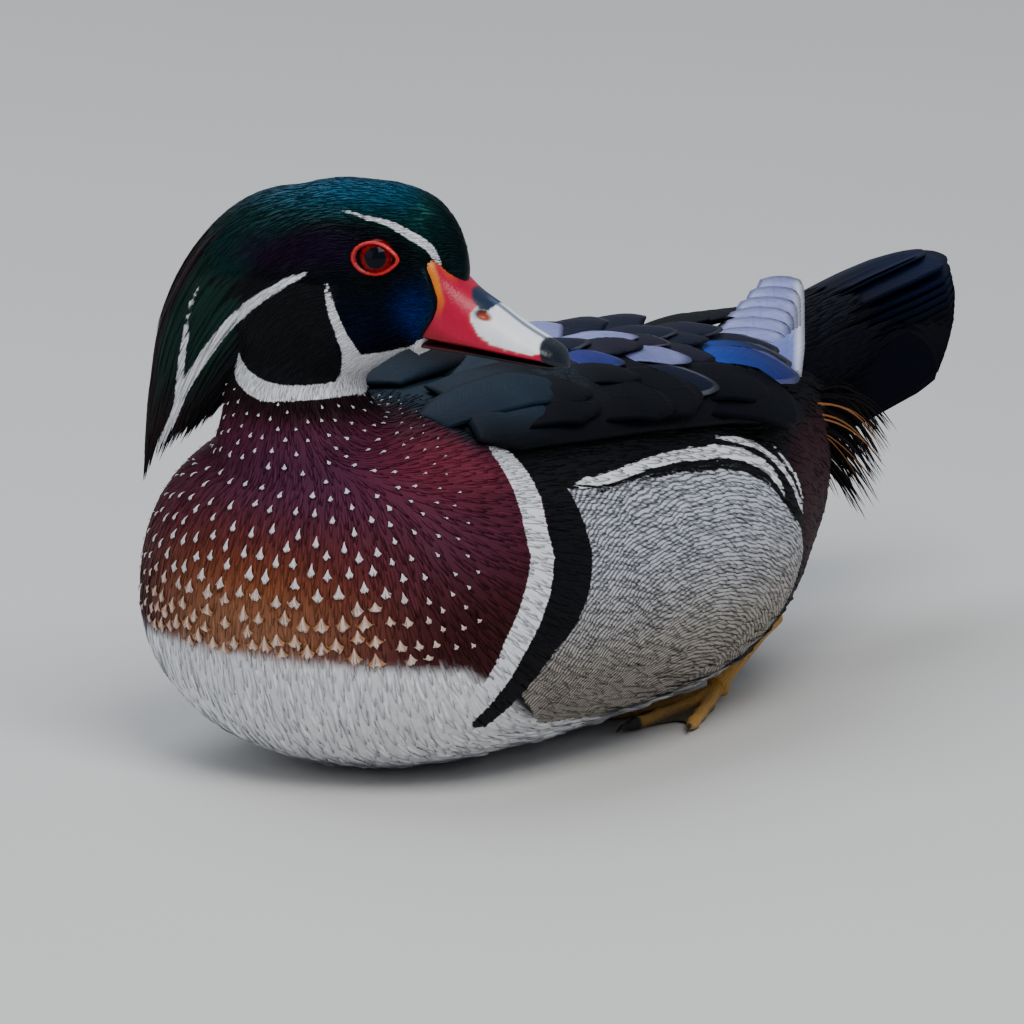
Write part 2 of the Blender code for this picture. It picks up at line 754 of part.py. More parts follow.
def limb(name, points, radii):
    """A round tapering solid along a line, pressed flat where it reaches the floor."""
    points = np.asarray(points, float)
    run = np.gradient(points, axis=0)
    run /= np.linalg.norm(run, axis=1)[:, None]
    across = np.cross(run, UP)
    across /= np.linalg.norm(across, axis=1)[:, None]
    above = np.cross(across, run)
    turn = np.linspace(0, 2 * math.pi, LIMB_SPOKES, endpoint=False)
    rings = []
    for point, a, b, radius in zip(points, across, above, radii):
        ring = point + radius * (np.outer(np.cos(turn), a) + np.outer(np.sin(turn), b))
        ring[:, 2] = np.maximum(ring[:, 2], FLOOR)
        rings.append(ring)
    return loft(name, rings)


def toe(side, tip):
    """A front toe with its knuckles and claw, lying on the floor."""
    share = np.array([-0.08, 0.2, 0.5, 0.88, 1.0, 1.13])
    line = TOE_ROOT + np.outer(share, tip - TOE_ROOT)
    line[:, 2] = np.interp(share, [0, 0.3, 1.0, 1.13], [3.4, 2.0, 1.9, 1.0])
    radii = TOE_RADIUS * np.array([1.2, 1.0, 1.05, 0.95, 0.5, 0.14])
    return limb("toe", mirrored(line, side), radii)


def web(side, a, b):
    """Skin stretched between two toes, scalloped along its free edge."""
    under, over, scallop = 0.4, 1.5, 0.22
    across = np.linspace(0, 1, 5)
    rows = []
    for share in (0.06, 0.4, 0.7, 1.0):
        reach = share * (0.9 - scallop * np.sin(math.pi * across))
        rows.append(TOE_ROOT + np.outer((1 - across) * reach, a - TOE_ROOT) + np.outer(across * reach, b - TOE_ROOT))
    upper = np.array(rows)
    lower = upper.copy()
    upper[..., 2], lower[..., 2] = over, under
    return sheet("web", mirrored(upper, side), mirrored(lower, side))


def foot(side, body):
    """Shank, three webbed toes laid forward, the small hind toe and the claws."""
    shank = HEEL + np.outer(np.linspace(0, 1, 5), TOE_ROOT - HEEL)
    pieces = [limb("foot", mirrored(shank, side), SHANK_RADIUS * np.array([1.25, 0.95, 0.9, 1.0, 1.15]))]
    pieces += [toe(side, tip) for tip in TOE_TIPS]
    pieces += [web(side, a, b) for a, b in zip(TOE_TIPS[:-1], TOE_TIPS[1:])]
    pieces.append(limb("hind_toe", mirrored(HIND_TOE, side), np.array([1.5, 1.2, 0.4])))
    return less(fused("foot_" + SIDE_NAMES[side], pieces), grown(body))


# Paint

def paint(piece, name, colour, roughness):
    material = bpy.data.materials.new(name)
    material.use_nodes = True
    shader = material.node_tree.nodes["Principled BSDF"]
    shader.inputs["Base Color"].default_value = (*colour, 1)
    shader.inputs["Roughness"].default_value = roughness
    piece.data.materials.clear()
    piece.data.materials.append(material)
    piece.data.shade_smooth()


def main():
    for old in list(bpy.data.objects):
        bpy.data.objects.remove(old)
    body = torso()
    skull = head()
    upper = upper_bill(skull)
    lower = lower_bill(skull, upper)
    nape = neck(body, skull)
    mane = crest(skull, nape)
    vent = rump(body)
    fan = tail()
    paint(body, "breast_plumage", (0.25, 0.06, 0.04), 0.6)
    paint(skull, "head_plumage", (0.02, 0.06, 0.05), 0.5)
    paint(upper, "bill_horn", (0.6, 0.03, 0.04), 0.35)
    paint(lower, "bill_dark", (0.03, 0.02, 0.02), 0.35)
    paint(nape, "neck_plumage", (0.12, 0.03, 0.03), 0.6)
    paint(mane, "crest_plumage", (0.02, 0.06, 0.05), 0.5)
    paint(fan, "tail_plumage", (0.01, 0.02, 0.04), 0.5)
    paint(vent, "rump_plumage", (0.06, 0.01, 0.02), 0.6)
    for side in SIDES:
        paint(eye(side), "eye", (0.4, 0.01, 0.01), 0.1)
        paint(wing(side), "wing_plumage", (0.02, 0.03, 0.06), 0.45)
        paint(foot(side, body), "leg_skin", (0.55, 0.3, 0.05), 0.5)


main()
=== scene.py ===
import math

import bmesh
import bpy
import numpy as np
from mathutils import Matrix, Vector
from mathutils.bvhtree import BVHTree
from mathutils.kdtree import KDTree


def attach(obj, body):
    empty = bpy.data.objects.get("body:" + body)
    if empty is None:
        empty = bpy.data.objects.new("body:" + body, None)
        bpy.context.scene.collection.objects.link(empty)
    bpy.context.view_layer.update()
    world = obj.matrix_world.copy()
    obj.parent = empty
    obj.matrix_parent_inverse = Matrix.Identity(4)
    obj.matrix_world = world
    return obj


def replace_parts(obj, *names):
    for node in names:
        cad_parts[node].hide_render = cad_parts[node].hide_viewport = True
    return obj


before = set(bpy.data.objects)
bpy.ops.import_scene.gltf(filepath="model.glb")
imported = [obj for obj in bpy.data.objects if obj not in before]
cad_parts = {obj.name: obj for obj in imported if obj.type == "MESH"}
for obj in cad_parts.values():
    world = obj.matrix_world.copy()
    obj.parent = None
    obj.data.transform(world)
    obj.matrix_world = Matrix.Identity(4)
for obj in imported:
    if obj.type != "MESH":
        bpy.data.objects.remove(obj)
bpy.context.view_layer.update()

# Skin
# The bare skin of head, neck, trunk and rump as one closed surface. Each part is lofted through its
# stations in millimetres, the parts are run together and smoothed, and the whole is drawn in by the
# depth of the coat that lies on it. The crest's first half is part of it.

MM = 0.001
UP = np.array([0.0, 0.0, 1.0])
SIDES = (1, -1)
SIDE_NAMES = {1: "left", -1: "right"}
draw = np.random.default_rng(11)

# Along the body, half width, back, belly, height of the widest place.
TRUNK = np.array(
    [
        (-99, 0, 47, 47, 47),
        (-94, 26, 71, 25, 45),
        (-83, 45, 84, 10, 43),
        (-68, 57.5, 91, 2.5, 42),
        (-45, 64, 94.5, -1.2, 42),
        (-10, 67, 95.0, -1.6, 43),
        (30, 66, 94, -1.6, 44),
        (62, 60, 91, 0.5, 46),
        (88, 48, 87.5, 11, 49),
        (103, 37, 82, 24, 52),
        (113, 0, 56, 56, 56),
    ],
    float,
)
RUMP = np.array(
    [
        (86, 0, 50, 50, 50),
        (92, 38, 80, 20, 50),
        (101, 41, 84.5, 20, 50),
        (113, 34.5, 83, 28, 53),
        (128, 25, 81, 38.5, 58),
        (140, 19, 79, 47, 62),
        (152, 14, 77.5, 57, 68),
        (164, 8, 80, 69, 75),
        (172, 0, 77, 77, 77),
    ],
    float,
)
# The head's own axes run forward, right and up from the point midway between the eyes.
HEAD_PLACE = np.array([15.0, -58.0, 138.6])
HEAD_TURN = math.radians(104)
FORWARD = np.array([math.sin(HEAD_TURN), -math.cos(HEAD_TURN), 0.0])
RIGHT = np.array([FORWARD[1], -FORWARD[0], 0.0])
# Forward, half width, crown, throat, height of the widest place.
HEAD = np.array(
    [
        (23.6, 0, -5, -5, -5),
        (22.8, 2.8, 0.5, -9, -5),
        (20.8, 4.6, 6.5, -11, -3),
        (17.6, 6.4, 11, -12, -1),
        (15.2, 7.6, 13.3, -13, -1),
        (13.6, 10.4, 14.5, -22.3, -7),
        (9.5, 12.2, 16.2, -25, -9),
        (3, 13.9, 17.7, -28.6, -10),
        (-5, 15.8, 18, -34, -13),
        (-13, 17.2, 17.9, -40, -15),
        (-21, 17.4, 16.3, -42, -16),
        (-29, 16, 12.6, -41, -16),
        (-36, 12.5, 7.0, -35, -15),
        (-41, 0, -14, -14, -14),
    ],
    float,
)
# Height, middle across and along the body, half depth along the head's axis, half width.
NECK = np.array(
    [
        (122, -4, -62, 10, 9),
        (112, -7.5, -63.4, 16.5, 14.5),
        (101, -9.6, -64, 19.2, 16.6),
        (93, -8.2, -62.8, 22.2, 20),
        (85, -5, -59, 29, 27),
        (76, -2, -53, 36, 35),
        (64, 0, -48, 38, 38),
        (52, 0, -45, 25, 25),
    ],
    float,
)
# The feathered pad that overlaps the root of the bill, and how far forward its edge stands at each height.
BILL_PAD = np.array(
    [
        (4, 5, -5, -22, -13),
        (9, 10.6, -1.5, -26.6, -14),
        (14, 11.6, -1.2, -27.0, -14),
        (18.0, 11.6, -1.6, -26.8, -14),
        (18.8, 0, -13.5, -13.5, -13.5),
    ],
    float,
)
PAD_EDGE = ([-26, -21, -19.3, -16, -11.5, -5, -0.5, 2], [12.5, 14.6, 15.4, 17.8, 18.7, 16.5, 14.6, 13.4])
# The crest: middle of the section forward and up, half depth, half width, from crown to tip.
CREST = np.array(
    [
        (-8, 0, 15.0, 15.0),
        (-20, -1, 16.4, 15.2),
        (-30, -5, 18.0, 15.4),
        (-40, -14, 17.2, 13.5),
        (-49.4, -27.4, 14.4, 10.5),
        (-56.8, -43.4, 9.6, 7),
        (-61.4, -55.6, 6.2, 4.2),
        (-67.4, -69, 0.8, 0.6),
    ],
    float,
)
CREST_ROOT = 0.52  # the share of the crest that the skin takes in
BACK_SQUARENESS = 0.88
BELLY_SQUARENESS = 0.96
SKIN_VOXEL = 1.25
SMOOTHING = 0.5
HEAD_COAT = 0.9
BODY_COAT = 1.05


def through(rows, count, poles=True):
    """Rows read along a smooth cubic curve through the given ones; where a pole closes them, the curve's
    next point past each end is the neighbour's mirror image, so that the end is round."""
    if poles:
        first, last = rows[1].copy(), rows[-2].copy()
        for end in (first, last):
            end[1] = -end[1]
            end[2], end[3] = end[3], end[2]
    else:
        first, last = 2 * rows[0] - rows[1], 2 * rows[-1] - rows[-2]
    padded = np.vstack([first, rows, last])
    places = np.linspace(0, len(rows) - 1, count)
    index = np.minimum(places.astype(int), len(rows) - 2)
    t = (places - index)[:, None]
    a, b, c, d = (padded[index + k] for k in range(4))
    return 0.5 * (2 * b + (c - a) * t + (2 * a - 5 * b + 4 * c - d) * t**2 + (3 * b - a - 3 * c + d) * t**3)


def section(angles, half_width, top, bottom, widest, squareness):
    """Across and height round one section: half width times the cosine, and the way up or down from the
    widest place times the sine, each raised to the squareness."""
    c, s = np.cos(angles), np.sin(angles)
    across = half_width * np.sign(c) * np.abs(c) ** squareness
    height = widest + np.where(s > 0, top - widest, widest - bottom) * np.sign(s) * np.abs(s) ** squareness
    return across, height


def head_point(forward, right, up):
    """A place on the head's own axes, turned and moved to the body's."""
    parts = [np.multiply.outer(v, axis) for v, axis in ((forward, FORWARD), (right, RIGHT), (up, UP))]
    return HEAD_PLACE + sum(parts)


def head_place(points):
    """Forward, right and up of points, on the head's own axes."""
    away = np.asarray(points) - HEAD_PLACE
    return away @ FORWARD, away @ RIGHT, away[..., 2]


def trunk_rings(rows, count, spokes):
    """Sections square to the body's axis, held off the floor."""
    angles = np.linspace(0, 2 * math.pi, spokes, endpoint=False) - math.pi / 2
    squareness = np.where(np.sin(angles) > 0, BACK_SQUARENESS, BELLY_SQUARENESS)
    y, half, top, bottom, widest = through(rows, count)[1:-1].T[..., None]
    x, z = section(angles, half, top, bottom, widest, squareness)
    return np.stack([x, np.broadcast_to(y, x.shape), np.maximum(z, 0)], axis=-1)


def head_rings(rows, count, spokes, squareness=1.0):
    """Sections square to the head's forward axis."""
    angles = np.linspace(0, 2 * math.pi, spokes, endpoint=False)
    forward, half, top, bottom, widest = through(rows, count)[1:-1].T[..., None]
    across, height = section(angles, half, top, bottom, widest, squareness)
    return head_point(np.broadcast_to(forward, across.shape), across, height)


def ramp(value, low, high):
    """Nought below low and one above high, with a smooth step between them."""
    t = np.clip((value - low) / (high - low), 0, 1)
    return t * t * (3 - 2 * t)


def pad_rings(count, spokes):
    """Sections like the head's, each point moved forward or back with its height to follow the pad's edge."""
    forward, right, up = head_place(head_rings(BILL_PAD, count, spokes, 0.6))
    shift = (np.interp(up, *PAD_EDGE) - 18.4) * ramp(forward, 8, 17.5)
    return head_point(forward + shift, right, up)


def neck_rings(count, spokes):
    """Ovals that lie level, long along the head's axis."""
    angles = np.linspace(0, 2 * math.pi, spokes, endpoint=False)
    z, x, y, deep, wide = through(NECK, count, poles=False).T[:, :, None, None]
    middle = np.concatenate([x, y, z], axis=-1)
    return middle + deep * np.cos(angles)[:, None] * FORWARD + wide * np.sin(angles)[:, None] * RIGHT


def crest_section(share):
    """Middle, half sizes and run of the crest at shares from crown to tip."""
    rows = through(CREST, 121, poles=False)
    run = np.gradient(rows[:, :2], axis=0)
    run /= np.linalg.norm(run, axis=1)[:, None]
    places = np.linspace(0, 1, len(rows))
    return [np.interp(share, places, column) for column in (*rows.T, *run.T)]


def crest_point(share, angle, lift=0.0, size=1.0):
    """A point on the crest: no turn is its outer edge, half a turn its lower edge, positive to the right."""
    forward, up, deep, wide, run_forward, run_up = crest_section(share)
    out = (size * deep + lift) * np.cos(angle)
    across = (size * wide + lift) * np.sin(angle)
    place = np.stack([forward + out * run_up, across, up - out * run_forward], axis=-1)
    return HEAD_PLACE + place @ np.stack([FORWARD, RIGHT, UP])


def crest_rings(first, last, count, spokes, lift=0.0, size=1.0):
    """Sections of the crest between two shares of its length."""
    shares = np.linspace(first, last, count)[:, None]
    turn = np.linspace(0, 2 * math.pi, spokes, endpoint=False)
    return crest_point(shares + 0 * turn, turn + 0 * shares, lift, size)


def loft(rings):
    """Points, four-cornered and three-cornered faces of a tube through rings, closed by a fan at each end."""
    count, spokes = rings.shape[:2]
    points = np.vstack([rings.reshape(-1, 3), rings[0].mean(axis=0), rings[-1].mean(axis=0)])
    i, j = np.meshgrid(np.arange(count - 1), np.arange(spokes), indexing="ij")
    k = (j + 1) % spokes
    quads = np.stack([i * spokes + j, i * spokes + k, (i + 1) * spokes + k, (i + 1) * spokes + j], axis=-1)
    j, k = np.arange(spokes), (np.arange(spokes) + 1) % spokes
    first, last = np.full(spokes, count * spokes), np.full(spokes, count * spokes + 1)
    end = (count - 1) * spokes
    fans = np.concatenate([np.stack([first, k, j], axis=-1), np.stack([last, end + j, end + k], axis=-1)])
    return points, quads.reshape(-1, 4), fans


def gathered(parts):
    """Several sets of points and faces as one set."""
    offsets = np.cumsum([0] + [len(part[0]) for part in parts[:-1]])
    joined = [np.vstack([part[0] for part in parts])]
    for k in (1, 2):
        joined.append(np.vstack([part[k] + offset for part, offset in zip(parts, offsets)]))
    return joined


def made_mesh(name, points, quads, triangles=()):
    """A smooth-shaded object from points in millimetres and index arrays of its faces."""
    quads = np.asarray(quads, np.int32).reshape(-1, 4)
    triangles = np.asarray(triangles, np.int32).reshape(-1, 3)
    mesh = bpy.data.meshes.new(name)
    mesh.vertices.add(len(points))
    mesh.vertices.foreach_set("co", (np.asarray(points) * MM).astype(np.float32).ravel())
    mesh.loops.add(quads.size + triangles.size)
    mesh.loops.foreach_set("vertex_index", np.concatenate([quads.ravel(), triangles.ravel()]))
    mesh.polygons.add(len(quads) + len(triangles))
    starts = np.concatenate([np.arange(len(quads)) * 4, quads.size + np.arange(len(triangles)) * 3])
    mesh.polygons.foreach_set("loop_start", starts.astype(np.int32))
    mesh.update(calc_edges=True)
    mesh.shade_smooth()
    piece = bpy.data.objects.new(name, mesh)
    bpy.context.scene.collection.objects.link(piece)
    return piece


def outwards(piece):
    """Turns the faces of closed surfaces outwards."""
    work = bmesh.new()
    work.from_mesh(piece.data)
    bmesh.ops.remove_doubles(work, verts=work.verts, dist=1e-7)
    bmesh.ops.recalc_face_normals(work, faces=work.faces)
    work.to_mesh(piece.data)
    work.free()
    return piece


def modified(piece, kind, **settings):
    """Adds one modifier, sets it and applies it to the mesh."""
    modifier = piece.modifiers.new(kind.title(), kind)
    for key, value in settings.items():
        setattr(modifier, key, value)
    graph = bpy.context.evaluated_depsgraph_get()
    mesh = bpy.data.meshes.new_from_object(piece.evaluated_get(graph))
    piece.modifiers.clear()
    piece.data = mesh
    mesh.name = piece.name
    return piece


def numbers(mesh, things, field, width=3):
    """One field of a mesh's vertices or faces, as rows."""
    found = getattr(mesh, things)
    values = np.zeros(len(found) * width, np.float32)
    found.foreach_get(field, values)
    return values.reshape(-1, width).astype(float)


def place_of(piece):
    """A piece's vertices in millimetres."""
    return numbers(piece.data, "vertices", "co") / MM


def moved(piece, points):
    """Puts a piece's vertices at points in millimetres."""
    piece.data.vertices.foreach_set("co", (points * MM).astype(np.float32).ravel())
    piece.data.update()


def coat_depth(points):
    """Millimetres of feathers over the skin: thin on the head, deeper from the lower neck down."""
    return BODY_COAT + (HEAD_COAT - BODY_COAT) * ramp(points[:, 2], 96, 112)


skin = made_mesh(
    "skin",
    *gathered(
        [
            loft(trunk_rings(TRUNK, 90, 110)),
            loft(trunk_rings(RUMP, 44, 60)),
            loft(head_rings(HEAD, 60, 64)),
            loft(pad_rings(40, 64)),
            loft(neck_rings(44, 72)),
            loft(crest_rings(0, CREST_ROOT, 40, 64, lift=0.3)),
        ]
    ),
)
outwards(skin)
modified(skin, "REMESH", mode="VOXEL", voxel_size=SKIN_VOXEL * MM)
modified(skin, "SMOOTH", factor=SMOOTHING, iterations=7)
skin_points = place_of(skin)
skin_normals = numbers(skin.data, "vertices", "normal")
skin_points -= skin_normals * coat_depth(skin_points)[:, None]
moved(skin, skin_points)
skin.data.shade_smooth()
skin_normals = numbers(skin.data, "vertices", "normal")
skin_faces = [tuple(face.vertices) for face in skin.data.polygons]
skin_tree = BVHTree.FromPolygons([Vector(p) for p in skin_points], skin_faces)
skin_corners = np.array([face[:4] if len(face) > 3 else face + face[:1] for face in skin_faces])


# Markings
# A drake's colours, told by the place on the body in millimetres, the same on both sides, with painted
# light and shade in a few places. What has a sharp edge is kept as a distance inside that edge, which the
# plumage paint turns into the marking.

WHITE = (0.80, 0.81, 0.84)
JET = (0.004, 0.004, 0.006)
WINE = (0.072, 0.009, 0.022)
OUTSIDE = -9  # a distance well outside any marking
# Soft patches of colour: shade, centre, reach, strength. The head's are on its own axes.
BREAST_PATCHES = (
    ((0.062, 0.012, 0.040), (8, -82, 80), (34, 34, 17), 1),
    ((0.070, 0.014, 0.036), (46, -72, 62), (16, 22, 15), 0.8),
    ((0.17, 0.018, 0.040), (36, -58, 86), (17, 20, 10), 0.9),
    ((0.21, 0.046, 0.011), (-2, -99, 50), (36, 30, 17), 0.95),
    ((0.34, 0.16, 0.085), (-4, -99, 42), (33, 30, 12), 0.75),
)
HEAD_PATCHES = (
    ((0.014, 0.005, 0.024), (-14, 15, 1.0), (12, 6, 5), 0.9),
    ((0.016, 0.005, 0.022), (-27, 14, -1.5), (10, 6, 5), 0.9),
    ((0.004, 0.005, 0.022), (-2, 14, -20), (9, 8, 8), 1),
    ((0.002, 0.020, 0.170), (11.5, 10, -15), (4.6, 7, 6), 1),
    ((0.002, 0.022, 0.018), (15.5, 9, -18), (2.4, 7, 5), 0.6),
)

# White lines on the body: a point on the left side and half the line's width there.
STRIPE = np.array(
    [
        (37.0, -42.0, 87.2, 1.6),
        (41.0, -42.8, 85.0, 3.2),
        (45.6, -43.8, 81.5, 3.7),
        (51.5, -46.3, 76.0, 3.9),
        (56.5, -49.8, 68.3, 3.8),
        (59.1, -50.8, 61.8, 3.9),
        (60.8, -54.5, 54.0, 4.1),
        (60.4, -58.5, 46.8, 4.0),
        (59.2, -62.7, 40.2, 3.8),
        (55.0, -67.0, 29.0, 3.2),
        (48.0, -69.0, 19.0, 2.0),
    ]
)
FLANK_BAND = np.array(
    [
        (53.5, -29.0, 76.0, 0.7),
        (54.3, -23.4, 75.9, 1.4),
        (54.5, -11.0, 76.3, 1.5),
        (54.3, 2.5, 76.8, 1.6),
        (54.0, 14.5, 76.8, 1.8),
        (54.5, 25.8, 75.6, 2.0),
        (54.5, 36.2, 74.4, 2.1),
        (55.2, 44.2, 72.0, 2.3),
        (56.4, 51.5, 68.2, 2.2),
        (58.2, 55.5, 63.0, 1.5),
        (59.0, 57.5, 57.0, 0.7),
        (59.3, 60.0, 52.0, 0.4),
        (59.0, 63.0, 47.0, 0.25),
    ]
)
CRESCENT = np.array(
    [
        (51.8, 37.1, 78.3, 0.9),
        (52.4, 45.2, 76.2, 1.2),
        (53.4, 52.8, 73.2, 1.4),
        (55.4, 58.7, 68.6, 1.4),
        (56.6, 62.8, 63.1, 1.3),
        (57.8, 65.7, 57.4, 1.2),
        (57.0, 68.0, 51.5, 0.9),
    ]
)
LAST_CRESCENT = np.array(
    [
        (52.4, 61.9, 71.5, 0.7),
        (55.0, 65.2, 66.4, 0.9),
        (55.8, 68.6, 61.4, 0.9),
        (57.1, 69.5, 55.0, 0.6),
    ]
)
# Black on the body: the band behind the white stripe and the line under the flank's white band.
BLACK_BAND = np.array(
    [
        (43.0, -35.0, 85.0, 4.5),
        (49.5, -36.8, 79.0, 5.0),
        (54.5, -37.2, 74.0, 5.4),
        (58.8, -39.4, 66.8, 6.8),
        (61.2, -40.4, 60.8, 7.0),
        (62.9, -43.6, 53.2, 7.1),
        (62.8, -48.0, 47.0, 6.9),
        (61.8, -54.0, 41.0, 6.0),
        (57.0, -60.0, 30.0, 4.6),
        (50.0, -64.0, 19.0, 3.0),
    ]
)
FLANK_LINE = np.array(
    [
        (55.6, -22.0, 73.4, 1.2),
        (56.1, -10.5, 73.4, 1.0),
        (56.4, 0.9, 73.7, 1.0),
        (56.6, 12.5, 73.4, 1.1),
        (57.2, 26.1, 71.8, 1.1),
        (57.5, 36.7, 70.2, 1.1),
        (58.2, 43.6, 67.6, 1.1),
        (59.0, 49.1, 63.4, 1.0),
        (60.0, 52.5, 57.0, 0.7),
    ]
)
# The barred flank seen from the side: along the body and height.
FLANK = np.array(
    [
        (-32.5, 76.5),
        (-22, 74.6),
        (-10.5, 74.4),
        (1, 74.6),
        (12.5, 74.2),
        (26, 72.8),
        (36.7, 71.2),
        (43.6, 68.6),
        (50, 64),
        (55, 58),
        (60, 53),
        (66, 48.5),
        (68.5, 42),
        (64, 30),
        (56, 20),
        (40, 13),
        (10, 10.5),
        (-20, 11.5),
        (-42, 15),
        (-57, 25),
        (-56, 36),
        (-49.5, 42),
        (-43, 47),
        (-38.5, 52),
        (-35, 59),
        (-33.5, 65),
        (-32.5, 71),
    ]
)
# White lines on the head, on its own axes with the distance from its middle plane: the brow line that
# runs on down the crest, the broad line from behind the eye, the finger up the cheek and the collar.
BROW = np.array(
    [
        (17.4, 6.6, -2.6, 0.5),
        (16, 7, -0.1, 0.9),
        (14.9, 7.8, 2.3, 1.1),
        (12.7, 9.1, 4.0, 1.2),
        (10.2, 9.6, 5.4, 1.15),
        (7.6, 9.9, 6.8, 1.0),
        (4.0, 10.1, 8.4, 0.75),
        (0.8, 10.2, 9.0, 0.55),
        (-1.9, 10.3, 9.3, 0.5),
        (-6.2, 10.0, 10.5, 0.5),
        (-9.8, 10.0, 10.8, 0.42),
        (-14.5, 9.8, 10.6, 0.35),
        (-20.0, 9.9, 9.2, 0.3),
        (-31.9, 11.4, 2.6, 0.4),
        (-39.5, 11.4, -2.5, 0.55),
        (-43.2, 11.0, -4.8, 0.7),
        (-45.3, 10.6, -6.9, 0.8),
        (-48.3, 10.8, -13.1, 0.9),
        (-50.5, 10.2, -18.5, 0.9),
        (-51.1, 10.1, -22, 0.95),
        (-52.6, 9.8, -28.4, 0.95),
        (-54.0, 8.7, -35.6, 0.9),
        (-55.4, 7.4, -42.2, 0.9),
    ]
)
EYE_LINE = np.array(
    [
        (-15.5, 16.4, -4.7, 0.3),
        (-18.0, 16.5, -6.2, 0.75),
        (-20.9, 16.5, -7.6, 1.05),
        (-26.6, 16.0, -11.2, 1.3),
        (-32.8, 14.6, -15.6, 1.4),
        (-38.7, 11.9, -20.7, 1.4),
        (-43.9, 10.7, -26.6, 1.45),
        (-48.9, 9.5, -33.5, 1.35),
        (-53.5, 7.9, -40.1, 1.2),
        (-56.4, 6.6, -46.7, 1.1),
        (-57.8, 6.3, -49.5, 1.1),
        (-61.3, 4.9, -55.5, 1.0),
        (-63.0, 3.6, -60.0, 0.8),
    ]
)
FINGER = np.array(
    [
        (-10.3, 16.3, -7.9, 0.6),
        (-9.9, 16.3, -10.5, 1.0),
        (-8.7, 16.4, -15.0, 1.2),
        (-6.8, 15.3, -20.5, 1.4),
        (-5.3, 12.7, -26.0, 2.0),
        (-5.2, 9.7, -30.0, 3.2),
    ]
)
THROAT = np.array(
    [
        (17.5, -21.6),
        (12.6, -22.0),
        (7.2, -25.6),
        (2.6, -26.8),
        (-2.1, -27.0),
        (-7.2, -28.0),
        (-8.2, -31.0),
        (-9.5, -34.2),
        (-8.5, -37.5),
        (-3, -40),
        (5, -38),
        (12, -31),
        (17.5, -27),
    ]
)
# The collar is told from the side: forward, up and half its width.
COLLAR = np.array(
    [
        (-1.0, -35.6, 2.6),
        (-7.0, -36.2, 2.0),
        (-12.6, -36.6, 1.8),
        (-20.0, -37.0, 1.9),
        (-27.5, -37.0, 2.4),
        (-32.0, -35.8, 2.6),
        (-36.4, -33.6, 2.6),
        (-38.8, -31.0, 1.7),
    ]
)


def inside_line(points, line):
    """How far points are inside a line of varying width: its half width at the nearest place, less the
    distance to that place, the largest over the line's lengths."""
    best = np.full(len(points), -1e3)
    for start, end in zip(line[:-1], line[1:]):
        run = end[:-1] - start[:-1]
        share = np.clip((points - start[:-1]) @ run / (run @ run), 0, 1)
        away = np.linalg.norm(points - (start[:-1] + share[:, None] * run), axis=1)
        best = np.maximum(best, start[-1] + share * (end[-1] - start[-1]) - away)
    return best


def inside_outline(points, corners):
    """Signed distance inside a closed flat outline: to its nearest edge, positive where the number of
    edges crossed on the way out is odd."""
    best = np.full(len(points), 1e6)
    odd = np.zeros(len(points), bool)
    for start, end in zip(corners, np.roll(corners, -1, axis=0)):
        run = end - start
        share = np.clip((points - start) @ run / (run @ run), 0, 1)
        best = np.minimum(best, np.linalg.norm(points - (start + share[:, None] * run), axis=1))
        spans = (start[1] > points[:, 1]) != (end[1] > points[:, 1])
        height = np.where(run[1] == 0, 1e-9, run[1])
        odd ^= spans & (points[:, 0] < start[0] + (points[:, 1] - start[1]) / height * run[0])
    return np.where(odd, best, -best)


def mix(first, second, share):
    return first + (np.asarray(second, float) - first) * share[:, None]


def near(points, centre, reach):
    """One at a centre, falling to nought at its reach, as the bell curve of the distance."""
    away = (points - np.asarray(centre, float)) / np.asarray(reach, float)
    return np.exp(-(np.linalg.norm(away, axis=1) ** 2))


def patched(shade, points, patches):
    for colour, centre, reach, strength in patches:
        shade = mix(shade, colour, near(points, centre, reach) * strength)
    return shade


def body_colour(points):
    """Base colour of trunk, neck and rump, by place, with painted shade on the neck under the head."""
    x, y, z = np.abs(points[:, 0]), points[:, 1], points[:, 2]
    shade = patched(np.tile(WINE, (len(points), 1)), points, BREAST_PATCHES)
    shade = mix(shade, (0.030, 0.005, 0.004), ramp(x, 32, 52) * ramp(z, 70, 44) * 0.85)
    # The neck just under the head: its own dark maroon, made darker by painted shade from the head above it.
    shade = mix(shade, (0.012, 0.003, 0.005), ramp(z, 91, 98))
    shade = mix(shade, (0.010, 0.008, 0.010), ramp(z, 92, 99) * ramp(y, -50, -42))
    behind_stripe = y - np.interp(z, [20, 40, 54, 62, 76, 87], [-66, -59, -51, -47, -43, -39])
    shade = mix(shade, JET, ramp(behind_stripe, -1, 1) * ramp(z, 96, 90))
    shade = mix(shade, (0.012, 0.026, 0.042), ramp(y + 0.2 * x, -44, -38) * ramp(z, 84, 90) * ramp(z, 99, 95))
    waterline = np.interp(y, [-95, -75, -50, 0, 60], [38, 36.5, 20, 10, 14])
    shade = mix(shade, WHITE, ramp(z, waterline, waterline - 3.5) * ramp(y, 96, 84))
    wine = ramp(y, 66, 72) * ramp(z, 31, 38) * ramp(z, 74, 66) * ramp(y, 132, 112)
    shade = mix(shade, (0.028, 0.003, 0.008), wine)
    return shade


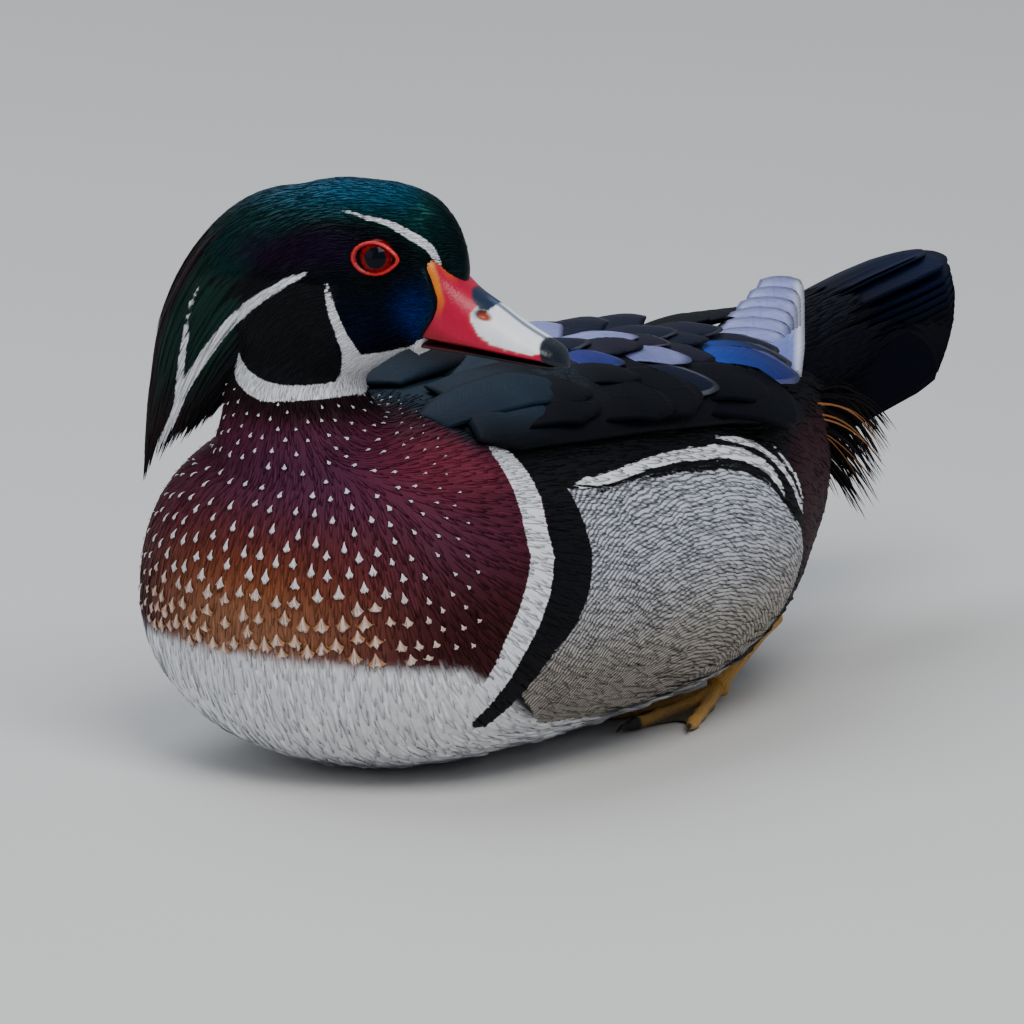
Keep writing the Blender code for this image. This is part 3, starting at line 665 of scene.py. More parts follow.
def head_colour(forward, right, up):
    """Base colour of the head, with a painted highlight on the crown, by place on its own axes."""
    side = np.abs(right)
    place = np.stack([forward, side, up], axis=-1)
    shade = np.tile((0.003, 0.006, 0.007), (len(place), 1))
    over_brow = up - np.interp(forward, [-40, -30, -20, -10, 0, 8, 16, 24], [-14, -3, 7, 9.5, 9, 6.5, 0, -7])
    shade = mix(shade, (0.002, 0.028, 0.028), ramp(over_brow, -3, 2))
    # The crown's top: its own iridescent teal blue, painted brighter as a painted highlight where the light
    # from above falls.
    shade = mix(shade, (0.002, 0.060, 0.110), ramp(up, 8, 17) * ramp(forward, 14, 4))
    shade = mix(shade, (0.003, 0.012, 0.014), ramp(forward, 11, 20))
    shade = patched(shade, place, HEAD_PATCHES)
    return mix(shade, JET, ramp(-8 - forward, 0, 2) * ramp(up, -7, -10) * ramp(up, -36, -32))


def markings(points):
    """Colour, distances inside the white, black and barred markings, and gloss."""
    forward, right, up = head_place(points)
    on_head = ramp(up, -37.2, -36.2) * ramp(-forward, 52, 48)
    shade = mix(body_colour(points), head_colour(forward, right, up), on_head)
    mirrored = np.stack([np.abs(points[:, 0]), points[:, 1], points[:, 2]], axis=-1)
    head_side = np.stack([forward, np.abs(right), up], axis=-1)
    lines = [(STRIPE, mirrored), (FLANK_BAND, mirrored), (CRESCENT, mirrored), (LAST_CRESCENT, mirrored)]
    white = np.max([inside_line(place, line) for line, place in lines], axis=0)
    on_face = [inside_line(head_side, line) for line in (BROW, EYE_LINE, FINGER)]
    collar = inside_line(np.stack([forward, up], axis=-1), COLLAR)
    on_face.append(np.where((points[:, 2] > 96) & (forward > -39.5), collar, OUTSIDE))
    white = np.maximum(white, np.max(on_face, axis=0))
    throat = inside_outline(np.stack([forward, up], axis=-1), THROAT)
    white = np.maximum(white, np.where(points[:, 2] > 97, throat, OUTSIDE))
    black = np.maximum(inside_line(mirrored, BLACK_BAND), inside_line(mirrored, FLANK_LINE))
    side_view = np.stack([points[:, 1], points[:, 2]], axis=-1)
    barred = np.where(np.abs(points[:, 0]) > 25, inside_outline(side_view, FLANK), OUTSIDE)
    gloss = np.where(on_head > 0.5, 1.0, 0.15 * ramp(points[:, 1], -30, -50))
    gloss = np.where((forward < -8) & (up < -8) & (on_head > 0.5), 0.0, gloss)
    return shade, np.stack([white, black, barred], axis=-1), gloss


def shaded(piece, colours):
    """Keeps one colour for each vertex of a piece, in place of any that it had."""
    known = piece.data.attributes
    layer = known.get("shade") or known.new("shade", "FLOAT_COLOR", "POINT")
    rows = np.column_stack([colours, np.ones(len(colours))])
    layer.data.foreach_set("color", rows.astype(np.float32).ravel())


def measured(piece, name, rows):
    """Keeps three numbers for each vertex of a piece."""
    layer = piece.data.attributes.new(name, "FLOAT_VECTOR", "POINT")
    layer.data.foreach_set("vector", rows.astype(np.float32).ravel())


def painted(piece, points, jitter=0.0, share=0.5):
    """Puts the markings at points on a piece's vertices; each tuft of a coat is a little off its place."""
    shade, distances, gloss = markings(points)
    shaded(piece, shade)
    measured(piece, "edges", distances + np.reshape(jitter, (-1, 1)))
    measured(piece, "traits", np.stack([gloss, 0 * gloss, np.broadcast_to(share, gloss.shape)], axis=-1))


painted(skin, skin_points + skin_normals * coat_depth(skin_points)[:, None])


class Value:
    """A node's output that takes part in sums: each operator adds the Math node that does it."""

    def __init__(self, paint, socket):
        self.paint = paint
        self.socket = socket

    def math(self, operation, *others):
        return self.paint.node("Math", {"operation": operation}, dict(enumerate((self, *others))))

    def __add__(self, other):
        return self.math("ADD", other)

    def __mul__(self, other):
        return self.math("MULTIPLY", other)

    __radd__ = __add__

    def __sub__(self, other):
        return self.math("SUBTRACT", other)

    def __rsub__(self, other):
        return (self * -1) + other

    def step(self, low, high):
        """Nought below low, one above high, smooth between."""
        sockets = {"Value": self, "From Min": low, "From Max": high}
        return self.paint.node("MapRange", {"interpolation_type": "SMOOTHSTEP"}, sockets)


class Paint:
    """A material while its nodes are put together."""

    def __init__(self, name, **constants):
        self.material = bpy.data.materials.new(name)
        self.material.use_nodes = True
        self.tree = self.material.node_tree
        self.shader = self.tree.nodes["Principled BSDF"]
        self.feed(self.shader, {key.replace("_", " "): value for key, value in constants.items()})

    def feed(self, node, sockets):
        for key, value in sockets.items():
            if isinstance(value, Value):
                self.tree.links.new(value.socket, node.inputs[key])
            else:
                node.inputs[key].default_value = value

    def node(self, kind, settings=None, sockets=None, out=0):
        made = self.tree.nodes.new("ShaderNode" + kind)
        for key, value in (settings or {}).items():
            setattr(made, key, value)
        self.feed(made, sockets or {})
        return Value(self, made.outputs[out])

    def attribute(self, name, out="Vector"):
        return self.node("Attribute", {"attribute_name": name}, out=out)

    def apart(self, vector):
        return [self.node("SeparateXYZ", None, {0: vector}, out) for out in range(3)]

    def together(self, x, y, z=0.0):
        return self.node("CombineXYZ", None, {0: x, 1: y, 2: z})

    def noise(self, place, scale, detail=2.0):
        return self.node("TexNoise", None, {"Vector": place, "Scale": scale, "Detail": detail})

    def blend(self, first, second, share):
        """A colour between two others."""
        sockets = {0: share, 6: first, 7: second}
        return self.node("Mix", {"data_type": "RGBA"}, sockets, out=2)

    def scaled(self, colour, by):
        """A colour made lighter or darker."""
        return self.node("VectorMath", {"operation": "SCALE"}, {0: colour, "Scale": by})

    def bump(self, height, strength, distance):
        sockets = {"Height": height, "Strength": strength, "Distance": distance}
        self.feed(self.shader, {"Normal": self.node("Bump", None, sockets)})

    def finish(self, **sockets):
        self.feed(self.shader, {key.replace("_", " "): value for key, value in sockets.items()})
        return self.material


def flank_bars(paint, place):
    """Fine wavy broken black lines on buff that is painted paler and bluer towards the top as painted light:
    rings about a point low on the flank, which follow its upper edge and stand up in front and behind,
    heavier towards the front."""
    _, y, z = paint.apart(place)
    centre_along, centre_up, spacing = 0.014, -0.004, 0.00108
    along, up = (y - centre_along) * 0.85, z - centre_up
    away = (along * along + up * up).math("SQRT")
    slow = paint.noise(place, 45.0, 1.0)
    quick = paint.noise(place, 330.0, 1.0)
    broken = paint.noise(place, 520.0, 1.0)
    wave = (away * (2 * math.pi / spacing) + slow * 26.0 + quick * 7.0).math("SINE")
    heavier = (y * -1.0).step(-0.03, 0.045) * 0.55 + z.step(0.035, 0.015) * 0.3
    line = (wave + (broken - 0.5) * 1.6 + heavier).step(0.0, 0.95)
    # Painted light: the buff ground is painted paler and bluer up the flank, where the light from above
    # falls.
    buff_with_painted_light = paint.blend((0.40, 0.36, 0.31, 1), (0.54, 0.56, 0.62, 1), z.step(0.025, 0.06))
    return paint.blend(buff_with_painted_light, (0.020, 0.019, 0.022, 1), line * 0.76)


def plumage_paint(name, feathered):
    """The coat's paint: shade by place, sharp markings cut from their distances with a ragged edge, and on
    a tuft the fine streaks of its barbs."""
    paint = Paint(name, Specular_IOR_Level=0.12)
    place = paint.node("TexCoord", out="Object")
    shade = paint.attribute("shade", "Color")
    white, black, barred = paint.apart(paint.attribute("edges"))
    gloss, _, share = paint.apart(paint.attribute("traits"))
    ragged = paint.noise(place, 900.0, 2.0)
    if feathered:
        across, along, _ = paint.apart(paint.node("UVMap", {"uv_map": "Tuft"}))
        stretched = paint.together(across * 7.0 + share * 90.0, along * 1.2, share * 40.0)
        streaks = paint.noise(stretched, 1.0, 2.0)
        light = 0.50 + streaks * 0.66 + share * 0.40
    else:
        streaks = paint.noise(place, 500.0, 3.0)
        light = 0.7 + streaks * 0.4
    edge = (ragged - 0.5) * 1.1
    colour = paint.scaled(shade, light)
    colour = paint.blend(colour, flank_bars(paint, place), (barred + edge).step(-0.2, 0.25))
    colour = paint.blend(colour, (*JET, 1), (black + edge * 0.8).step(-0.15, 0.2))
    whitened = (white + edge * 0.6).step(-0.15, 0.2)
    snow = paint.blend((0.72, 0.74, 0.79, 1), (*WHITE, 1), streaks.step(0.2, 0.6))
    colour = paint.blend(colour, snow, whitened)
    paint.bump(streaks, 0.30, 0.0003)
    shine = gloss * (1.0 - whitened)
    return paint.finish(Base_Color=colour, Metallic=shine * 0.8, Roughness=0.66 - shine * 0.28)


skin.data.materials.clear()
skin.data.materials.append(plumage_paint("skin_plumage", feathered=False))
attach(skin, "root")
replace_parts(skin, "torso", "neck", "head", "rump")

# Bill
# Horn over bone: red with a yellow edge against the feathers, a white saddle, a blue-black ridge with a
# painted highlight along its top and a black hooked nail; the lower half is black. Nostrils are pits with a
# pale brown lining and painted shade in the opening at their back.

# Forward, half width, ridge, cutting edge, height of the widest place.
UPPER_BILL = np.array(
    [
        (8, 6, -3, -20, -19),
        (11, 9.2, 0.6, -21.3, -20),
        (15, 9.5, 0.4, -21.8, -20.5),
        (19, 9.3, -4.4, -22.6, -21),
        (24, 8.9, -8.6, -23.4, -21.8),
        (31, 8.3, -13.0, -24.4, -22.8),
        (38, 7.9, -17.6, -25.3, -23.8),
        (44, 6.9, -20.8, -26, -24.8),
        (48, 4.6, -23.2, -27.6, -26),
        (50, 0, -27.6, -27.6, -27.6),
    ],
    float,
)
LOWER_BILL = np.array(
    [
        (6, 5.5, -21.5, -24.5, -22.5),
        (12, 7.6, -22.3, -24.9, -23.5),
        (20, 7.4, -23.2, -25.2, -24.2),
        (30, 6.9, -24.6, -26.4, -25.2),
        (40, 6.0, -25.8, -27.5, -26.4),
        (45.5, 3.6, -26.8, -28.3, -27.4),
        (47, 0, -27.8, -27.8, -27.8),
    ],
    float,
)
BILL_SQUARENESS = 0.85
NOSTRIL = np.array([29.3, 5.6, -14.9])
NOSTRIL_RUN = (0.94, -0.34)
BILL_DEPTH = 12
# Outlines on the bill's side in millimetres: forward, and down from the ridge towards the cutting edge.
SADDLE = np.array(
    [
        (25.8, 0.30),
        (26.0, 0.42),
        (27.8, 0.60),
        (31, 0.73),
        (36, 0.74),
        (42.6, 0.68),
        (44.6, 0.50),
        (44.8, 0.2),
        (43.8, -0.3),
        (38, -0.4),
        (32, -0.4),
    ]
) * (1, BILL_DEPTH)
RIDGE_PATCH = np.array(
    [
        (23.0, -0.3),
        (24.2, 0.03),
        (26.4, 0.14),
        (28.4, 0.24),
        (29.4, 0.18),
        (30.6, 0.03),
        (31.5, -0.3),
    ]
) * (1, BILL_DEPTH)


def settled(piece, material, slot, *nodes):
    """Gives a piece its material, body and the CAD nodes that it stands for; the slot is not used."""
    piece.data.materials.clear()
    piece.data.materials.append(material)
    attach(piece, "root")
    if nodes:
        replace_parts(piece, *nodes)
    return piece


def bill_upper():
    """The upper bill with its nostrils pressed in and the nail's edge raised a little."""
    along = through(UPPER_BILL, 150)[1:-1, 0]
    squareness = np.interp(along, [14, 25], [0.45, BILL_SQUARENESS])[:, None]
    piece = outwards(made_mesh("bill_upper", *loft(head_rings(UPPER_BILL, 150, 110, squareness))))
    points = place_of(piece)
    normals = numbers(piece.data, "vertices", "normal")
    forward, right, up = head_place(points)
    local = np.stack([forward, np.abs(right), up], axis=-1) - NOSTRIL
    level, fall = NOSTRIL_RUN
    along = local[:, 0] * level + local[:, 2] * fall
    over = local[:, 2] * level - local[:, 0] * fall
    on_side = np.abs(right) > 2
    pit = np.exp(-(((along / 1.9) ** 2 + (over / 0.85) ** 2) ** 1.6)) * on_side
    rim = np.exp(-((np.hypot(along / 2.5, over / 1.35) - 1) / 0.22) ** 2) * on_side
    nail = ramp(forward, 43.6, 44.3) * ramp(up, -27.5, -24)
    seam = np.exp(-(((forward - 43.9 + 0.12 * (up + 21)) / 0.3) ** 2))
    grain = 0.03 * np.sin(forward * 5.1 + up * 3) * np.sin(up * 6.3 + right)
    moved(piece, points + normals * (-0.75 * pit + 0.10 * rim + 0.10 * nail - 0.10 * seam + grain)[:, None])
    rows = through(UPPER_BILL, 200)
    ridge, edge = (np.interp(forward, rows[:, 0], rows[:, k]) for k in (2, 3))
    drop = (ridge - up) / (ridge - edge + 1e-6)
    place = np.stack([forward, drop * BILL_DEPTH + 0.18 * np.sin(forward * 1.9)], axis=-1)
    in_saddle = inside_outline(place, SADDLE)
    shade = np.tile((0.45, 0.0006, 0.036), (len(points), 1))
    shade = mix(shade, (0.62, 0.06, 0.07), ramp(in_saddle, -1.2, 0) * 0.6)
    shade = mix(shade, (0.22, 0.001, 0.010), ramp(drop, 0.82, 0.92) * 0.9)
    shade = mix(shade, (0.012, 0.004, 0.006), ramp(drop, 0.955, 0.985))
    base = forward - np.interp(up, *PAD_EDGE)
    shade = mix(shade, (0.66, 0.17, 0.006), ramp(base, 1.0, 0.2) * ramp(up, -17, -8))
    shade = mix(shade, (0.60, 0.10, 0.006), ramp(drop, 0.10, 0.03) * ramp(forward, 22, 18) * 0.7)
    shade = mix(shade, (0.86, 0.87, 0.92), ramp(in_saddle, -0.12, 0.25))
    shade = mix(shade, (0.010, 0.022, 0.050), ramp(inside_outline(place, RIDGE_PATCH), -0.15, 0.25))
    # Painted highlight: a thin blue-grey line along the top of the ridge, where the light catches it.
    ridge_highlight = ramp(np.abs(right), 1.5, 0.7) * ramp(forward, 27, 29) * ramp(drop, 0.3, 0.2)
    shade = mix(shade, (0.045, 0.085, 0.17), ridge_highlight * 0.85)
    shade = mix(shade, (0.004, 0.008, 0.015), ramp(forward + 0.30 * (up + 21), 43.5, 43.95))
    # Painted shade: the opening at the back of each nostril pit is painted near black; in front of it lies
    # the pit's pale brown lining.
    nostril_shade = np.exp(-(((along + 1.2) / 1.9) ** 2 + ((over - 0.2) / 1.35) ** 2) ** 2)
    in_pit = np.exp(-(((along - 0.1) / 1.9) ** 2 + (over / 0.95) ** 2) ** 3)
    shade = mix(shade, (0.010, 0.010, 0.014), nostril_shade * on_side)
    shade = mix(shade, (0.34, 0.045, 0.010), in_pit * on_side)
    shaded(piece, np.clip(shade, 0, 1))
    return settled(piece, horn_paint, "bill_horn", "upper_bill")


def bill_lower():
    """The lower bill, black with a dark red edge towards its root."""
    piece = outwards(made_mesh("bill_lower", *loft(head_rings(LOWER_BILL, 90, 64, BILL_SQUARENESS))))
    forward, _, up = head_place(place_of(piece))
    shade = np.tile((0.014, 0.010, 0.012), (len(up), 1))
    shade = mix(shade, (0.10, 0.008, 0.012), ramp(up, -25.4, -24.0) * ramp(forward, 34, 22) * 0.7)
    shaded(piece, shade)
    return settled(piece, horn_paint, "bill_dark", "lower_bill")


paint = Paint("bill_horn", Specular_IOR_Level=0.34, Subsurface_Weight=0.08, Subsurface_Scale=0.001)
place = paint.node("TexCoord", out="Object")
grain = paint.noise(place, 1500.0, 4.0)
patches = paint.noise(place, 260.0, 3.0)
paint.bump(grain + patches * 0.6, 0.22, 0.0004)
horn_colour = paint.scaled(paint.attribute("shade", "Color"), 0.80 + patches * 0.28 + grain * 0.12)
horn_paint = paint.finish(Base_Color=horn_colour, Roughness=0.24 + patches * 0.16)
bill_trees = []
for piece in (bill_upper(), bill_lower()):
    faces = [tuple(face.vertices) for face in piece.data.polygons]
    bill_trees.append(BVHTree.FromPolygons([Vector(point) for point in place_of(piece)], faces))

# Coat
# Small body feathers, each a thin closed vane with its root sunk in the skin, laid backwards over the
# next ones. They are hair-fine tufts on the face, small on the neck and broad on breast and flanks.


def spacing(points):
    """Millimetres between the roots of neighbouring feathers."""
    forward, _, up = head_place(points)
    on_head = ramp(up, -38, -33) * ramp(-forward, 52, 48)
    face = 0.64 + 0.26 * ramp(forward, 10, -22) + 0.06 * ramp(up, 2, 12)
    body = np.interp(points[:, 2], [10, 30, 46, 76, 90, 100], [3.0, 2.3, 1.75, 1.6, 1.45, 1.25])
    body = body + 0.35 * ramp(points[:, 1], -40, -25)
    body = np.where(points[:, 2] < 8, 3.6, body)
    return body + (face - body) * on_head


def lie(points, normals):
    """The way that the coat lies: back from the bill on the head, down the neck and the front of the
    breast, and back along the trunk, always along the skin."""
    forward, _, up = head_place(points)
    on_head = ramp(points[:, 2], 99, 112)[:, None]
    back = 2.4 * ramp(points[:, 1], -96, -30) * ramp(points[:, 2], 104, 80) + 0.2
    trunk = np.stack([np.zeros_like(back), back, -np.ones_like(back)], axis=-1)
    fall = 0.12 + 0.75 * ramp(forward, 2, -34) + 0.35 * ramp(up, -8, -26)
    head = -FORWARD - fall[:, None] * UP
    way = trunk + (head - trunk) * on_head
    way -= (way * normals).sum(axis=1)[:, None] * normals
    return way / np.linalg.norm(way, axis=1)[:, None]


def scattered():
    """Roots on the skin: random places, as many to each face as its area asks, thinned until none stands
    nearer to a kept one than its spacing."""
    corners = skin_points[skin_corners]
    cross = np.cross(corners[:, 2] - corners[:, 0], corners[:, 3] - corners[:, 1])
    weight = 0.5 * np.linalg.norm(cross, axis=1) / spacing(corners.mean(axis=1)) ** 2
    crowd = 6
    chosen = draw.choice(len(weight), int(crowd * weight.sum()), p=weight / weight.sum())
    a, b = draw.uniform(0, 1, (2, len(chosen), 1))
    quad = corners[chosen]
    places = (1 - a) * ((1 - b) * quad[:, 0] + b * quad[:, 3]) + a * ((1 - b) * quad[:, 1] + b * quad[:, 2])
    gap = spacing(places)
    tree = KDTree(len(places))
    for index, place in enumerate(places):
        tree.insert(place, index)
    tree.balance()
    free = np.ones(len(places), bool)
    kept = []
    for index, place in enumerate(places):
        if free[index]:
            kept.append(index)
            free[[found[1] for found in tree.find_range(place, gap[index])]] = False
    return places[kept]


def on_skin(points):
    """The nearest places on the skin and the skin's smooth normals there."""
    found = [skin_tree.find_nearest(point) for point in points]
    places = np.array([place[0] for place in found])
    normals = skin_normals[skin_corners[[place[2] for place in found]]].mean(axis=1)
    return places, normals / np.linalg.norm(normals, axis=1)[:, None]


def tuft_faces(rows, columns, count):
    """Faces of closed thin vanes: an upper grid and a lower one that share their rim."""
    grid = np.arange(rows * columns).reshape(rows, columns)
    lower = grid.copy()
    lower[1:-1, 1:-1] = rows * columns + np.arange((rows - 2) * (columns - 2)).reshape(rows - 2, columns - 2)
    faces = []
    for sheet, turn in ((grid, (0, 1, 2, 3)), (lower, (3, 2, 1, 0))):
        cells = np.stack([sheet[:-1, :-1], sheet[:-1, 1:], sheet[1:, 1:], sheet[1:, :-1]], axis=-1)
        faces.append(cells.reshape(-1, 4)[:, turn])
    faces = np.concatenate(faces)
    size = rows * columns + (rows - 2) * (columns - 2)
    return (faces + np.arange(count)[:, None, None] * size).reshape(-1, 4), size


def mapped(piece, name, places):
    """Keeps one place on the unit square for each face corner of a piece."""
    layer = piece.data.uv_layers.new(name=name)
    layer.data.foreach_set("uv", places.astype(np.float32).ravel())


def vanes(name, axes, normals, half_widths, thick, shape, columns, camber=0.12, ragged=0.0, rounded=0.35):
    """Closed thin vanes along axes of points. Across a vane its height falls with the square of the distance
    from its middle line, and its outer parts end sooner, by the rounding, so that the tip is round. What
    would reach under the floor lies flat on it."""
    count, rows = axes.shape[:2]
    across = np.linspace(-1, 1, columns)
    run = np.gradient(axes, axis=1)
    sideways = np.cross(run, normals)
    sideways /= np.linalg.norm(sideways, axis=-1, keepdims=True)
    share = np.linspace(0, 1, rows)
    width = half_widths[:, None] * np.interp(share, *shape)
    pull = rounded * np.abs(across) ** 2.2 + ragged * draw.uniform(0, 1, (count, 1, columns))
    step = run * (rows - 1)
    back = (share**3)[None, :, None] * pull
    reach = half_widths[:, None] / np.linalg.norm(step, axis=-1)
    upper = axes[:, :, None] + across[:, None] * (sideways * width[..., None])[:, :, None]
    upper = upper - (back * reach[..., None])[..., None] * step[:, :, None] * 1.6
    upper = upper - ((camber * width)[..., None] * across**2)[..., None] * normals[:, :, None]
    lower = upper[:, 1:-1, 1:-1] - thick * normals[:, 1:-1, None]
    points = np.concatenate([upper.reshape(count, -1, 3), lower.reshape(count, -1, 3)], axis=1)
    points[..., 2] = np.maximum(points[..., 2], 0)
    faces, size = tuft_faces(rows, columns, count)
    piece = made_mesh(name, points.reshape(-1, 3), faces)
    u, v = np.meshgrid(across * 0.5 + 0.5, share)
    flat = np.stack([u, v], axis=-1)
    flat = np.concatenate([flat.reshape(-1, 2), flat[1:-1, 1:-1].reshape(-1, 2)])
    corners = np.zeros(len(piece.data.loops), np.int32)
    piece.data.loops.foreach_get("vertex_index", corners)
    mapped(piece, "Tuft", flat[corners % size])
    return piece, flat, corners, size


def bake_map(piece, chart, flat, corners, size):
    """The second map: a small patch for each vane, where its root lies on an unwrap of the skin."""
    patch = 0.003
    places = (0.002 + 0.993 * np.clip(chart, 0, 1))[corners // size]
    mapped(piece, "OFBake", places + (flat[corners % size] - 0.5) * patch)


def about_head(points):
    """Unwrap: along the head and round it."""
    forward, right, up = head_place(points)
    return np.stack([(forward + 72) / 98, np.arctan2(right, up + 12) / (2 * math.pi) + 0.5], axis=-1)


def about_breast(points):
    """Unwrap: round the upright line through the breast, and height."""
    turn = np.arctan2(points[:, 0], -(points[:, 1] + 25)) / (2 * math.pi) + 0.5
    return np.stack([turn, points[:, 2] / 118], axis=-1)


def about_trunk(points):
    """Unwrap: along the trunk and round it."""
    turn = np.arctan2(points[:, 0], points[:, 2] - 48) / (2 * math.pi) + 0.5
    return np.stack([(points[:, 1] + 102) / 278, turn], axis=-1)


COAT_SHAPE = ([0, 0.3, 0.7, 1], [0.6, 1, 0.9, 0.35])
HAIR_SHAPE = ([0, 0.4, 0.75, 1], [0.6, 1, 0.8, 0.18])
TRACE_STEPS = 3


def drawn_out(axis, faced, rows):
    """Traced places and normals read at evenly spaced rows, and each row's share of the way."""
    steps = len(axis) - 1
    axis, faced = np.stack(axis, axis=1), np.stack(faced, axis=1)
    share = np.linspace(0, 1, rows) * steps
    low = np.minimum(share.astype(int), steps - 1)
    part = (share - low)[:, None]
    line = axis[:, low] * (1 - part) + axis[:, low + 1] * part
    faced = faced[:, low] * (1 - part) + faced[:, low + 1] * part
    return line, faced, share / steps


def coat(name, roots, chart, slot, measures, shape=COAT_SHAPE, thick=0.12):
    """One piece of the coat: vanes from roots, traced over the skin along its lie, tips lifted. The measures
    are length, width and rise, the first two as shares of the gap between roots."""
    length, width, rise = measures
    rows, columns = 4, 3
    gap = spacing(roots)
    places, normals = on_skin(roots)
    way = lie(places, normals)
    turn = draw.normal(0, 0.10, (len(roots), 1))
    way = way + turn * np.cross(normals, way)
    reach = gap * length * draw.uniform(0.85, 1.15, len(roots))
    axis, faced = [places], [normals]
    for _ in range(TRACE_STEPS):
        places, normals = on_skin(places + way * (reach / TRACE_STEPS)[:, None])
        way = way * 0.5 + lie(places, normals) * 0.5
        axis.append(places)
        faced.append(normals)
    line, faced, share = drawn_out(axis, faced, rows)
    tilt = draw.normal(0, 0.07, (len(roots), 1, 1))
    faced = faced + tilt * np.cross(np.gradient(line, axis=1), faced)
    faced /= np.linalg.norm(faced, axis=-1, keepdims=True)
    lift = -0.10 + (rise * draw.uniform(0.8, 1.15, len(roots)))[:, None] * share**0.8
    half_widths = gap * width
    piece, flat, corners, size = vanes(
        name, line + lift[..., None] * faced, faced, half_widths, thick, shape, columns
    )
    across = np.cross(np.gradient(line, axis=1), faced)
    across /= np.linalg.norm(across, axis=-1, keepdims=True)
    spread = flat[:, 0] * 2 - 1
    row = np.rint(flat[:, 1] * (rows - 1)).astype(int)
    under = line[:, row] + across[:, row] * (spread * half_widths[:, None])[..., None] * 0.9
    deep = coat_depth(under.reshape(-1, 3)).reshape(under.shape[:2])
    under = under + faced[:, row] * deep[..., None]
    jitter = np.repeat(draw.normal(0, 0.22, len(roots)), size) * np.repeat(np.minimum(gap / 3, 1), size)
    painted(piece, under.reshape(-1, 3), jitter, np.repeat(draw.uniform(0, 1, len(roots)), size))
    bake_map(piece, chart(roots), flat, corners, size)
    return settled(piece, coat_paint, slot)


coat_paint = plumage_paint("coat_plumage", feathered=True)
SPOT_GAP = ([36, 48, 60, 80, 92, 104], [3.7, 4.0, 4.5, 4.3, 3.5, 2.8])
SPOT_WIDE = ([38, 46, 56, 68, 80, 92, 104], [5.6, 5.2, 3.6, 2.3, 1.8, 1.2, 0.8])
SPOT_LONG = ([38, 46, 56, 68, 80, 92, 104], [5.0, 4.8, 4.3, 3.5, 2.5, 1.6, 0.9])
SPOT_SHAPE = ([0, 0.3, 0.6, 0.85, 1], [0.04, 0.26, 0.60, 0.95, 0.85])


def round_breast(points):
    """Degrees round the upright line through the breast, from its front, on the body's side of it."""
    return np.degrees(np.arctan2(points[:, 0], -(points[:, 1] + 35)))


def spot_places():
    """Places on the breast in a loose lattice: of many random ones, each keeps its gap to the ones before."""
    corners = skin_points[skin_corners]
    middle = corners.mean(axis=1)
    cross = np.cross(corners[:, 2] - corners[:, 0], corners[:, 3] - corners[:, 1])
    tries = 9000
    turned = np.abs(round_breast(middle))
    wanted = (middle[:, 1] < -30) & (middle[:, 2] > 39) & (middle[:, 2] < 101.5) & (turned < 56)
    weight = np.linalg.norm(cross, axis=1) * wanted
    places = middle[draw.choice(len(weight), tries, p=weight / weight.sum())]
    kept = []
    for place in places:
        gap = np.interp(place[2], *SPOT_GAP)
        if not kept or np.min(np.linalg.norm(np.array(kept) - place, axis=1)) > gap:
            kept.append(place)
    return np.array(kept)


spots = spot_places()

roots = scattered()
forward, right, up = head_place(roots)
hem = np.interp(roots[:, 1], [-50, -38, -15, 15, 45, 70, 90, 100], [93, 87, 84.5, 83, 80, 76, 74, 72])
under_wing = (roots[:, 2] > hem + 2.5) & (roots[:, 1] > -36) & (roots[:, 1] < 92)
at_eye = (np.hypot((forward - 1.7) / 1.30, up + 0.7) < 4.25) & (np.abs(right) > 8)
under_lid = (np.abs(forward) < 24) & (up > -30) & at_eye


def in_bill(point):
    """Whether a root stands inside the bill or against it."""
    for tree in bill_trees:
        place, normal, _, away = tree.find_nearest(point)
        if (Vector(point) - place).dot(normal) < 0.25 and away < 12:
            return True
    return False


at_bill = (forward > 9) & (up < 4)
at_bill[at_bill] = [in_bill(point) for point in roots[at_bill]]
on_head = (up > -36.5 + 0.9 * np.maximum(-forward - 30, 0)) & (forward > -62)
bare = under_wing | (on_head & (at_bill | under_lid))
roots, on_head = roots[~bare], on_head[~bare]
on_neck = ~on_head & (roots[:, 2] > 89)
on_front = ~on_head & ~on_neck & (roots[:, 1] < -28) & (roots[:, 2] > 14)
on_flank = ~on_head & ~on_neck & ~on_front & (roots[:, 2] > 14)
below = ~(on_head | on_neck | on_front | on_flank)
on_right = {"right": head_place(roots)[1] > 0, "left": head_place(roots)[1] <= 0}
for name, half in (("left", roots[:, 0] > 0), ("right", roots[:, 0] <= 0)):
    face = roots[on_head & on_right[name]]
    coat("coat_head_" + name, face, about_head, "head_plumage", (6.5, 0.42, 0.32), HAIR_SHAPE, 0.08)
    front = roots[on_front & half]
    coat("coat_breast_" + name, front, about_breast, "breast_plumage", (4.8, 0.36, 0.34))
    flank = roots[on_flank & half]
    coat("coat_flank_" + name, flank, about_trunk, "breast_plumage", (4.4, 0.44, 0.34))
coat("coat_neck", roots[on_neck], about_breast, "neck_plumage", (4.8, 0.36, 0.34))
coat("coat_belly", roots[below], about_trunk, "breast_plumage", (3.6, 0.55, 0.4))

# Breast spots
# Each larger breast feather shows a pale tip as a small arrowhead, point upwards: tiny below the collar,
# wider further down, and with buff sides low on the front.


